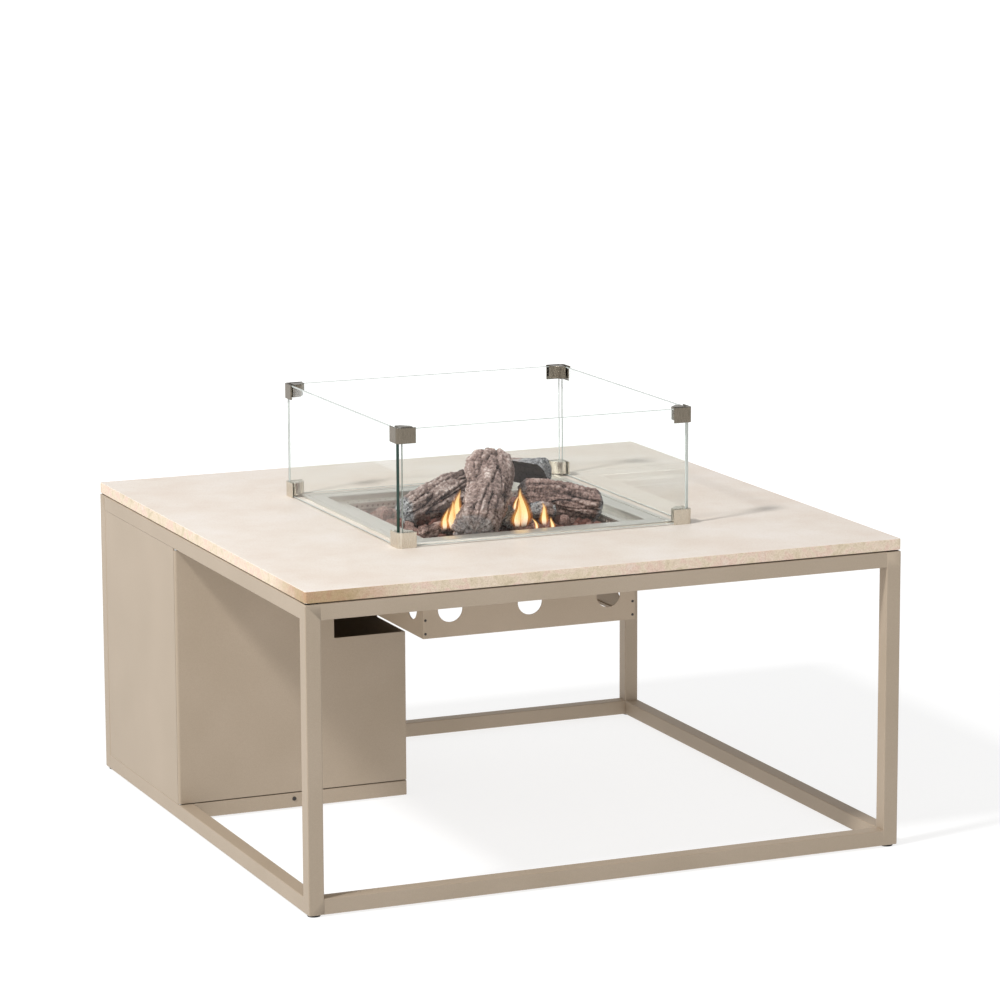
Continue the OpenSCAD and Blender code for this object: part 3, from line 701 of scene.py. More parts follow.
def ceramicBark():
    # cast ceramic fibre log: painted bark, grey ash on its ends; the relief makes it dark in its
    # grooves and pale on its ridges, partly its own paint and partly painted shade and painted
    # highlight
    made, tree, shader, place = startMaterial("ceramicBark")
    relief = addNode(tree, "ShaderNodeAttribute", attribute_name="relief").outputs["Fac"]
    ash = addNode(tree, "ShaderNodeAttribute", attribute_name="ash").outputs["Fac"]
    char = addNode(tree, "ShaderNodeAttribute", attribute_name="char").outputs["Fac"]
    warm = addNode(tree, "ShaderNodeAttribute", attribute_name="warm").outputs["Fac"]
    grit = addNode(tree, "ShaderNodeTexNoise", {
        "Vector": place, "Scale": perMm(6.5), "Detail": 6.0, "Roughness": 0.82})
    blotch = addNode(tree, "ShaderNodeTexNoise", {
        "Vector": place, "Scale": perMm(24), "Detail": 3.0, "Roughness": 0.6})
    height = addNode(tree, "ShaderNodeMath", {0: grit.outputs[0], 1: 2.1},
                     operation="MULTIPLY_ADD")
    tree.links.new(relief, height.inputs[2])
    level = addNode(tree, "ShaderNodeMath", {0: height.outputs[0], 1: 1.05},
                    operation="SUBTRACT")
    # tone by relief: the near-black grooves are partly painted shade, the near-white ridges partly
    # painted highlight
    cool = addNode(tree, "ShaderNodeValToRGB", {0: level.outputs[0]}, stops=[
        (0.05, "#2c2522"), (0.28, "#675953"), (0.48, "#90827b"), (0.66, "#ab9e97"),
        (0.90, "#dcd4ce")])
    ruddy = addNode(tree, "ShaderNodeValToRGB", {0: level.outputs[0]}, stops=[
        (0.05, "#2b1f1b"), (0.28, "#68524b"), (0.48, "#957b73"), (0.66, "#b2978e"),
        (0.90, "#dfcbc3")])
    share = addNode(tree, "ShaderNodeMath", {0: blotch.outputs[0], 1: 0.5}, operation="ADD")
    tilt = addNode(tree, "ShaderNodeMath", {0: share.outputs[0], 1: warm},
                   operation="MULTIPLY", use_clamp=True)
    bark = addNode(tree, "ShaderNodeMix", {
        0: tilt.outputs[0], 6: cool.outputs[0], 7: ruddy.outputs[0]}, data_type="RGBA")
    speck = addNode(tree, "ShaderNodeTexNoise", {
        "Vector": place, "Scale": perMm(4.2), "Detail": 4.0, "Roughness": 0.8,
        "Distortion": 0.8})
    cinder = addNode(tree, "ShaderNodeValToRGB", {0: speck.outputs[0]}, stops=[
        (0.36, "#2b2a2b"), (0.46, "#737375"), (0.56, "#a9a9aa"), (0.66, "#dcdbd9")])
    patchy = addNode(tree, "ShaderNodeMapRange", {
        "Value": ash, "From Min": 0.25, "From Max": 0.75})
    dusty = addNode(tree, "ShaderNodeMix", {
        0: patchy.outputs[0], 6: bark.outputs[2], 7: cinder.outputs[0]}, data_type="RGBA")
    burnt = addNode(tree, "ShaderNodeValToRGB", {0: grit.outputs[0]},
                    stops=[(0.3, "#37302b"), (0.7, "#564c45")])
    full = addNode(tree, "ShaderNodeMix", {
        0: char, 6: dusty.outputs[2], 7: burnt.outputs[0]}, data_type="RGBA")
    bump = addNode(tree, "ShaderNodeBump", {
        "Height": grit.outputs[0], "Strength": 0.9, "Distance": 0.0022})
    tree.links.new(full.outputs[2], shader.inputs["Base Color"])
    tree.links.new(bump.outputs[0], shader.inputs["Normal"])
    shader.inputs["Roughness"].default_value = 0.9
    shader.inputs["Specular IOR Level"].default_value = 0.2
    return made


def lavaStone():
    # broken lava rock: rust brown to grey, full of small pores
    made, tree, shader, place = startMaterial("lavaStone")
    tint = addNode(tree, "ShaderNodeAttribute", attribute_name="tint").outputs["Fac"]
    base = addNode(tree, "ShaderNodeValToRGB", {0: tint}, stops=[
        (0.0, "#6e4f48"), (0.35, "#936a61"), (0.65, "#a98880"), (1.0, "#b8a39c")])
    pore = addNode(tree, "ShaderNodeTexVoronoi", {"Vector": place, "Scale": perMm(3.2)})
    hollow = addNode(tree, "ShaderNodeMapRange", {
        "Value": pore.outputs["Distance"], "From Min": 0.1, "From Max": 0.5})
    grit = addNode(tree, "ShaderNodeTexNoise", {
        "Vector": place, "Scale": perMm(2.4), "Detail": 4.0, "Roughness": 0.75})
    deep = addNode(tree, "ShaderNodeValToRGB", {0: grit.outputs[0]},
                   stops=[(0.32, "#5e4a44"), (0.5, "#d6c8c2"), (0.68, "#ffffff")])
    both = addNode(tree, "ShaderNodeMix", {0: 0.9, 6: base.outputs[0], 7: deep.outputs[0]},
                   data_type="RGBA", blend_type="MULTIPLY")
    height = addNode(tree, "ShaderNodeMath", {0: hollow.outputs[0], 1: grit.outputs[0]},
                     operation="ADD")
    bump = addNode(tree, "ShaderNodeBump", {
        "Height": height.outputs[0], "Strength": 0.9, "Distance": 0.0015})
    tree.links.new(both.outputs[2], shader.inputs["Base Color"])
    tree.links.new(bump.outputs[0], shader.inputs["Normal"])
    shader.inputs["Roughness"].default_value = 0.95
    shader.inputs["Specular IOR Level"].default_value = 0.2
    return made


def flameGlow(name, foot, body, tip, strength, cover):
    # burning gas: light of its own, see-through, streaked upwards, thin at foot and tip
    made, tree, shader, place = startMaterial(name)
    rise = addNode(tree, "ShaderNodeAttribute", attribute_name="rise").outputs["Fac"]
    stretch = addNode(tree, "ShaderNodeMapping", {
        "Vector": place, "Scale": (perMm(5), perMm(5), perMm(26))})
    lick = addNode(tree, "ShaderNodeTexNoise", {
        "Vector": stretch.outputs[0], "Scale": 1.0, "Detail": 2.0, "Distortion": 0.7})
    drift = addNode(tree, "ShaderNodeMath", {0: lick.outputs[0], 1: 0.5},
                    operation="MULTIPLY_ADD")
    tree.links.new(rise, drift.inputs[2])
    level = addNode(tree, "ShaderNodeMath", {0: drift.outputs[0], 1: 0.25},
                    operation="SUBTRACT")
    shade = addNode(tree, "ShaderNodeValToRGB", {0: level.outputs[0]}, stops=[
        (0.0, foot), (0.35, body), (0.85, tip)])
    glow = addNode(tree, "ShaderNodeEmission", {"Color": shade.outputs[0],
                                                "Strength": strength})
    clear = addNode(tree, "ShaderNodeBsdfTransparent")
    thin = addNode(tree, "ShaderNodeValToRGB", {0: rise}, stops=[
        (0.0, "#000000"), (0.2, cover), (0.6, cover), (1.0, "#101010")])
    both = addNode(tree, "ShaderNodeMixShader", {
        0: thin.outputs[0], 1: clear.outputs[0], 2: glow.outputs[0]})
    tree.nodes.remove(shader)
    out = next(n for n in tree.nodes if n.type == "OUTPUT_MATERIAL")
    tree.links.new(both.outputs[0], out.inputs[0])
    return made


finish = {
    "powder": powderCoat(),
    "stone": honedStone(),
    "stoneEdge": sawnStoneEdge(),
    "brushed": brushedSteel(),
    "heated": heatedSteel(),
    "nickel": satinNickel("satinNickel", "#d2cabb", "#e0d9cc"),
    # the upper corners get a copy of the nickel painted darker and browner: painted shade and
    # painted reflection of darker surroundings
    "nickelPaintedShade": satinNickel("paintedShadeNickel", "#6b6459", "#82796c"),
    "zinc": zincPlate(),
    "dark": mouldedPlastic("blackOxideSteel", "#2c2825", "#3b3632", 0.4),
    "brass": machinedBrass(),
    "rubber": mouldedPlastic("blackRubber", "#1d1c1b", "#2b2a28", 0.75),
    "black": mouldedPlastic("blackNylon", "#161616", "#242322", 0.42),
    "red": mouldedPlastic("redPlastic", "#b02a20", "#c93a2c", 0.3),
    "ceramic": mouldedPlastic("glazedCeramic", "#dedad0", "#efece4", 0.3),
    "mark": mouldedPlastic("whiteMarkPaint", "#dcdad4", "#f0eee8", 0.6),
    "glass": clearGlass(),
    # painted light on the glass edges: the pale copy is painted reflection, the grey and deep green
    # copies are painted shade
    "edge": glassEdge("paintedReflectionGlassEdge", "#b9c0bc", "#cdd3cf"),
    "edgeGrey": glassEdge("shadedGlassEdge", "#70766f", "#888e88"),
    "edgePaintedShade": glassEdge("paintedShadeGlassEdge", "#052c22", "#0b3d31"),
    "bark": ceramicBark(),
    "lava": lavaStone(),
    "flameOuter": flameGlow("outerFlame", "#d85a2a", "#f08c34", "#d98a40", 0.9, "#6a6a6a"),
    "flameMiddle": flameGlow("middleFlame", "#f08a3a", "#ffb24a", "#f09a40", 1.1, "#8c8c8c"),
    "flameInner": flameGlow("innerFlame", "#fff8e2", "#ffefb8", "#ffd488", 1.9, "#c0c0c0"),
}
print("materials made:", len(finish))

# finishes of the CAD nodes that are shown as they are
nodeFinish = {
    "rubber": ["corner_glides", "top_pads"],
    "zinc": ["door_pivot_pins", "valve_spindle", "thermocouple", "ring_burner"],
    "black": ["door_magnet", "igniter_body"],
    "brass": ["supply_pipe", "gas_valve", "gas_inlet"],
    "ceramic": ["spark_electrode"],
}
for kind, names in nodeFinish.items():
    for name in names:
        nodes[name].data.materials.clear()
        nodes[name].data.materials.append(finish[kind])


# frame of welded tube
frameLook = {
    "edgeRadius": 1.7,        # mm, outside edges of the tube
    "segments": 3,
}
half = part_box("leg_front_left")[0].x * -1
tubeInner = -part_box("leg_front_left")[1].x
footLow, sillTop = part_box("bottom_rail_front")[0].z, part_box("bottom_rail_front")[1].z
railHigh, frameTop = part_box("top_rail_front")[0].z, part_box("top_rail_front")[1].z


def near(a, b):
    return abs(a - b) < 0.1 * mm


def buildLeg(node, name):
    shape = cadCopy(node)
    for z in (sillTop, railHigh):
        bmesh.ops.bisect_plane(
            shape, geom=shape.verts[:] + shape.edges[:] + shape.faces[:],
            plane_co=(0, 0, z), plane_no=(0, 0, 1))

    def free(edge):
        a, b = (v.co for v in edge.verts)
        middle = (a + b) / 2
        outX = near(abs(middle.x), half)
        outY = near(abs(middle.y), half)
        if near(a.x, b.x) and near(a.y, b.y):
            inX = near(abs(middle.x), tubeInner)
            inY = near(abs(middle.y), tubeInner)
            between = sillTop < middle.z < railHigh
            return (outX and outY) or (between and (outX or inX) and (outY or inY))
        return (outX or outY) and (near(middle.z, footLow) or near(middle.z, frameTop))

    softEdges(shape, frameLook["edgeRadius"], free, frameLook["segments"])
    newPiece(name, evenNormals(meshFrom(shape)), "table", [node],
             [finish["powder"]])


def buildRail(node, name):
    shape = cadCopy(node)
    low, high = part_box(node)
    size = high - low
    axis = 0 if size.x > size.y else 1
    across = 1 - axis

    def free(edge):
        a, b = (v.co for v in edge.verts)
        lengthwise = near(a[across], b[across]) and near(a.z, b.z)
        onSide = near(a[across], low[across]) or near(a[across], high[across])
        return lengthwise and onSide and (near(a.z, low.z) or near(a.z, high.z))

    softEdges(shape, frameLook["edgeRadius"], free, frameLook["segments"])
    newPiece(name, evenNormals(meshFrom(shape)), "table", [node],
             [finish["powder"]])


for end in ("Front", "Back"):
    for side in ("Left", "Right"):
        buildLeg(f"leg_{end.lower()}_{side.lower()}", f"leg{end}{side}")
for level in ("top", "bottom"):
    for side in ("Front", "Back", "Left", "Right"):
        buildRail(f"{level}_rail_{side.lower()}", f"{level}Rail{side}")
buildRail("cabinet_front_sill", "frontSill")
buildRail("cabinet_side_sill", "sideSill")
buildRail("cabinet_header", "headerRail")
print("frame tubes made")


# stone top
slab = {
    "cornerRadius": 4,
    "topRound": 1.6,
    "underArris": 0.8,
    "trayGap": 3.5,           # from the ember tray to the edge of the cut-out
}


def buildTop():
    low, high = (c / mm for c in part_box("tabletop"))
    side = high.x
    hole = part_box("ember_tray")[1].x / mm + slab["trayGap"]
    r = slab["cornerRadius"]
    loops = [ringLoop(side - slab["underArris"], side - slab["underArris"], low.z, r, 6),
             ringLoop(side, side, low.z + slab["underArris"], r, 6)]
    for k in range(5):
        a = math.radians(22.5 * k)
        inset = slab["topRound"] * (1 - math.cos(a))
        loops.append(ringLoop(
            side - inset, side - inset, high.z - slab["topRound"] * (1 - math.sin(a)), r, 6))
    loops.append(ringLoop(hole, hole, high.z, 1, 6))
    loops.append(ringLoop(hole, hole, low.z, 1, 6))
    shape = loft(loops, closed=True)
    for face in shape.faces:
        face.material_index = 0 if abs(face.normal.z) > 0.75 else 1
    newPiece("stoneTop", evenNormals(meshFrom(shape)), "table", ["tabletop"],
             [finish["stone"], finish["stoneEdge"]])


buildTop()
print("stone top made")


# sheet metal of the cabinet and the burner housing
doorDrop = 1.4        # mm that the door's lower edge is drawn longer
sheetPieces = {
    "cabinet_left_panel": ("cabinetSide", "table", 0),
    "cabinet_back_panel": ("cabinetBack", "table", 0.5),
    "cabinet_inner_wall": ("cabinetInnerWall", "table", 0.5),
    "cabinet_door": ("cabinetDoor", "door", 0.7),
    "housing_front": ("housingFront", "table", 0.5),
    "housing_back": ("housingBack", "table", 0.5),
    "housing_left": ("housingLeft", "table", 0.5),
    "housing_right": ("housingRight", "table", 0.5),
    "cabinet_floor": ("cabinetFloor", "table", 0.5),
}
for node, (name, body, width) in sheetPieces.items():
    shape = cadCopy(node)
    if node == "cabinet_door":
        # its lower edge hangs close over the sill
        for v in shape.verts:
            if near(v.co.z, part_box(node)[0].z):
                v.co.z -= doorDrop * mm
    if width:
        softEdges(shape, width)
    newPiece(name, evenNormals(meshFrom(shape)), body, [node],
             [finish["powder"]])
print("sheet metal made")


# burner rim, perforated ledge and tray
rimLook = {
    "lip": 9.0,           # mm, width of the raised outer lip
    "groove": 1.5,
    "grooveDepth": 1.6,
    "cornerRadius": 2.5,
    "holePitch": 9.5,
    "holeRadius": 2.3,
    "stripHeight": 9.0,       # perforated strip inside the tray's wall
    "stripThick": 1.2,
    "sheet": 1.5,
    "bedGap": 3,              # from the lava rock to the wall of the well
}


def sideGrain(mesh):
    # UV along each side of the square, so the brushing turns at the mitres
    layer = mesh.uv_layers.new(name="grain")
    for face in mesh.polygons:
        c = face.center
        alongY = abs(c.x) > abs(c.y)
        for k in face.loop_indices:
            p = mesh.vertices[mesh.loops[k].vertex_index].co
            layer.data[k].uv = (p.y, p.x + p.z) if alongY else (p.x, p.y + p.z)


def buildRim():
    low, high = (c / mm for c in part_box("burner_rim"))
    out = high.x
    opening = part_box("ember_tray")[1].x / mm - rimLook["sheet"]
    top, base = high.z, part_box("tabletop")[1].z / mm
    lip, gap = out - rimLook["lip"], rimLook["groove"]
    deep = top - rimLook["grooveDepth"]
    profile = [
        (out, base), (out, top - 0.7), (out - 0.2, top - 0.2), (out - 0.8, top),
        (lip + 0.5, top), (lip, top - 0.4), (lip, deep), (lip - gap, deep),
        (lip - gap, top - 0.9), (lip - gap - 0.5, top - 0.4), (opening + 2.4, top - 0.4),
        (opening + 1.0, top - 0.8), (opening + 0.3, top - 1.7), (opening, top - 3),
        (opening, low.z), (opening + rimLook["sheet"], low.z),
        (opening + rimLook["sheet"], base)]
    loops = []
    for size, z in profile:
        r = rimLook["cornerRadius"] if size > opening + 5 else 0.8
        loops.append(ringLoop(size, size, z, r, 3))
    mesh = meshFrom(loft(loops, closed=True), 35)
    sideGrain(mesh)
    newPiece("burnerRim", mesh, "table", ["burner_rim"], [finish["brushed"]])


def ledgeCell(pitch, outer, inner, low, high, radius):
    # one cell of the ledge with its hole; open towards its neighbours, so that they weld
    shape = bmesh.new()
    middle = Vector((0, -(outer + inner) / 2))
    frameX, frameY = pitch / 2, (outer - inner) / 2
    points = []
    for k in range(16):
        a = 2 * math.pi * k / 16 + math.pi / 16
        points.append((math.cos(a), math.sin(a)))
    rim = [(1, 1), (-1, 1), (-1, -1), (1, -1)]
    levels = {}
    for z in (low, high):
        corners = [shape.verts.new(Vector((
            sx * frameX, middle.y + sy * frameY, z)) * mm) for sx, sy in rim]
        hole = [shape.verts.new(Vector((
            middle.x + radius * x, middle.y + radius * y, z)) * mm) for x, y in points]
        levels[z] = corners, hole
        for quarter in range(4):
            arc = [hole[(4 * quarter + k) % 16] for k in range(4)]
            follow = hole[(4 * quarter + 4) % 16]
            for k in range(3):
                shape.faces.new((corners[quarter], arc[k + 1], arc[k]))
            shape.faces.new((corners[quarter], corners[(quarter + 1) % 4], follow, arc[3]))
    lowCorners, lowHole = levels[low]
    highCorners, highHole = levels[high]
    for k in range(16):
        n = (k + 1) % 16
        shape.faces.new((lowHole[k], lowHole[n], highHole[n], highHole[k]))
    for a, b in ((0, 1), (2, 3)):
        shape.faces.new((lowCorners[a], lowCorners[b], highCorners[b], highCorners[a]))
    return shape


def ledgeCorner(outer, inner, low, high):
    shape = bmesh.new()
    spots = [(-outer, -outer), (-inner, -outer), (-inner, -inner), (-outer, -inner)]
    bottom = [shape.verts.new(Vector((x, y, low)) * mm) for x, y in spots]
    top = [shape.verts.new(Vector((x, y, high)) * mm) for x, y in spots]
    shape.faces.new(bottom[::-1])
    shape.faces.new(top)
    shape.faces.new((bottom[0], bottom[1], top[1], top[0]))
    shape.faces.new((bottom[3], bottom[0], top[0], top[3]))
    return shape


def buildTray():
    box = [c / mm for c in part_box("ember_tray")]
    outer, top = box[1].x, box[1].z
    sheet = rimLook["sheet"]
    floorTop = box[0].z + sheet
    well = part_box("lava_rock")[1].x / mm + rimLook["bedGap"]
    count = round(2 * well / rimLook["holePitch"])
    pitch = 2 * well / count
    tree, sockets = squareRepeat
    cells = run(tree, sockets, meshFrom(ledgeCell(
        pitch, outer, well, top - sheet, top, rimLook["holeRadius"])),
        count=count, pitch=pitch * mm, levels=1, rise=0.0, weld=0.01 * mm,
        finish=finish["brushed"])
    corners = run(tree, sockets, meshFrom(ledgeCorner(outer, well, top - sheet, top)),
                  count=1, pitch=0.0, levels=1, rise=0.0, weld=0.01 * mm,
                  finish=finish["brushed"])
    ledge = bmesh.new()
    ledge.from_mesh(cells)
    ledge.from_mesh(corners)
    bmesh.ops.remove_doubles(ledge, verts=ledge.verts, dist=0.01 * mm)
    bmesh.ops.recalc_face_normals(ledge, faces=ledge.faces)
    # the same cell stood on end, for the perforated strip
    tall, thick = rimLook["stripHeight"], rimLook["stripThick"]
    reach = well - thick - 0.1
    count = round(2 * reach / rimLook["holePitch"])
    upright = ledgeCell(2 * reach / count, tall / 2, -tall / 2, 0, thick, rimLook["holeRadius"])
    upright.transform(
        Matrix.Translation((0, -reach * mm, (top - sheet - tall / 2) * mm))
        @ Matrix.Rotation(math.radians(90), 4, "X"))
    strip = bmesh.new()
    strip.from_mesh(run(
        tree, sockets, meshFrom(upright), count=count, pitch=2 * reach / count * mm, levels=1,
        rise=0.0, weld=0.01 * mm, finish=finish["brushed"]))
    bmesh.ops.holes_fill(strip, edges=strip.edges[:], sides=4)
    bmesh.ops.recalc_face_normals(strip, faces=strip.faces)
    stripMesh = meshFrom(strip)
    stripMesh.materials.append(finish["brushed"])
    low = box[0].z
    pan = loft([
        ringLoop(9, 9, floorTop, 8.9, 4), ringLoop(well - 4, well - 4, floorTop, 2, 4),
        ringLoop(well - 1.2, well - 1.2, floorTop + 1.2, 4, 4),
        ringLoop(well, well, floorTop + 4, 4, 4), ringLoop(well, well, top - sheet, 0.5, 4),
        ringLoop(well + sheet, well + sheet, top - sheet, 0.5, 4),
        ringLoop(well + sheet, well + sheet, low + 4, 5, 4),
        ringLoop(well - 2.5, well - 2.5, low, 5, 4), ringLoop(9, 9, low, 8.9, 4)], closed=True)
    ledgeMesh, panMesh = meshFrom(ledge), meshFrom(pan)
    ledgeMesh.materials.append(finish["brushed"])
    panMesh.materials.append(finish["heated"])
    both = joined(ledgeMesh, panMesh, stripMesh)
    both.shade_smooth()
    both.set_sharp_from_angle(angle=math.radians(35))
    sideGrain(both)
    newPiece("emberTray", both, "table", ["ember_tray"])


buildRim()
buildTray()
print("burner rim and tray made")


# lava rock
lavaLook = {
    "pitch": 19.0,        # mm between stones
    "radius": 11.5,
    "jitter": 6.0,
    "dent": 13.0,
    "lumpSize": 13.0,
    # height, reach and seed of each layer: the rock heaps up towards the middle
    "levels": [(472.5, 150, 3), (482.5, 128, 11), (489.0, 96, 19)],
    "bed": (466.5, 472),      # foot and top of the flat bed under the stones
}


def buildLava():
    tree, sockets = stoneRepeat
    layers = []
    for count, (z, edge, seed) in enumerate(lavaLook["levels"]):
        steps = int(2 * edge / lavaLook["pitch"])
        grid = bmesh.new()
        for i in range(steps + 1):
            for k in range(steps + 1):
                x, y = -edge + 2 * edge * i / steps, -edge + 2 * edge * k / steps
                # the upper layers lie in patches
                if count and noise.noise(Vector((x, y, 40 * count)) / 46) < -0.12 + 0.1 * count:
                    continue
                grid.verts.new(Vector((x, y, z)) * mm)
        layers.append(run(
            tree, sockets, meshFrom(grid), size=lavaLook["radius"] * mm,
            spread=lavaLook["jitter"] * mm, dent=lavaLook["dent"] * mm,
            lump=perMm(lavaLook["lumpSize"]), seed=seed, finish=finish["lava"]))
    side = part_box("lava_rock")[1].x / mm - 2
    bed = meshFrom(loft([
        ringLoop(side, side, z, 4, 3) for z in lavaLook["bed"]]))
    mesh = joined(*layers, bed)
    mesh.shade_smooth()
    mesh.set_sharp_from_angle(angle=math.radians(38))
    newPiece("lavaRock", mesh, "table", ["lava_rock"], [finish["lava"]])


buildLava()
print("lava rock made")


# ceramic logs
logLooks = {
    # ends: radius at the left end, middle and right end, as shares of the bar's;
    # longer: share of the length added at each end; knots: place, angle, height, width
    "leftLog": {
        "node": "log_left", "bar": 0, "shift": (0, 0, -6), "ends": (1.0, 1.24, 1.18),
        "bow": (0, 0.04, 0.02), "longer": (0.08, 0.04), "knots": [(0.8, 340, 0.12, 0.3)],
        "lump": 0.07, "grooves": 6, "depth": 0.30, "twist": 0.3, "seed": 3,
        "ash": (0.25, 0.10), "warm": 0.45},
    "centreLog": {
        "node": "log_centre", "bar": 0, "shift": (-6, 0, 0), "ends": (1.22, 1.26, 1.08),
        "bow": (0.03, 0, 0), "longer": (0.12, 0.0),
        "knots": [(0.88, 288, 0.56, 0.26), (0.0, 250, 0.26, 0.34), (0.92, 50, 0.10, 0.3)],
        "lump": 0.06, "grooves": 6, "depth": 0.27, "twist": 0.3, "seed": 17,
        "ash": (0.10, 0.02), "warm": 0.6},
    "topLog": {
        "node": "log_top", "bar": 0, "shift": (5, -2, -2), "ends": (0.70, 1.10, 1.22),
        "bow": (0, 0, -0.03), "longer": (-0.12, 0.13), "knots": [],
        "lump": 0.10, "grooves": 5, "depth": 0.12, "twist": 0.2, "seed": 29,
        "ash": (0.1, 1.3), "warm": 0.3, "cut": (117, -0.12, 0.30)},
    "rightLog": {
        "node": "log_right", "bar": 0, "shift": (2, 0, -4), "ends": (1.12, 1.26, 1.18),
        "bow": (0, 0.03, 0.02), "longer": (0.06, 0.03), "knots": [],
        "lump": 0.06, "grooves": 7, "depth": 0.36, "twist": 0.12, "seed": 41,
        "ash": (0.1, 0.15), "warm": 0.95},
    "ashChunk": {
        "node": "log_stubs", "bar": 0, "shift": (4, -6, 2), "ends": (0.95, 1.1, 1.0),
        "bow": (0, 0, 0), "longer": (0.0, 0.0), "knots": [],
        "lump": 0.26, "grooves": 4, "depth": 0.16, "twist": 0.2, "seed": 53,
        "ash": (1.5, 1.5), "warm": 0.2},
    "splitStub": {
        "node": "log_stubs", "bar": 1, "shift": (0, 4, -4), "ends": (1.0, 1.1, 0.95),
        "bow": (0, 0, 0), "longer": (0.0, 0.0), "knots": [],
        "lump": 0.2, "grooves": 4, "depth": 0.2, "twist": 0.3, "seed": 61,
        "ash": (0.9, 0.3), "warm": 0.5},
    "branch": {
        "node": "log_branch", "bar": 0, "shift": (0, 0, 2), "ends": (0.9, 1.15, 1.0),
        "bow": (0, 0.1, 0), "longer": (0.05, 0.35), "knots": [],
        "lump": 0.18, "grooves": 3, "depth": 0.2, "twist": 0.4, "seed": 71,
        "ash": (0.02, 0.02), "warm": 1.2},
}
logGrid = {"sides": 132, "ringMm": 1.1, "capRings": 18}


def barOf(points):
    # axis ends and radius of a round bar, left end first
    middle = points.mean(0)
    axis = np.linalg.svd(points - middle)[2][0]
    along = (points - middle) @ axis
    radius = np.linalg.norm((points - middle) - np.outer(along, axis), axis=1).max()
    ends = sorted([middle + axis * along.min(), middle + axis * along.max()],
                  key=lambda p: p[0])
    return Vector(ends[0]), Vector(ends[1]), radius


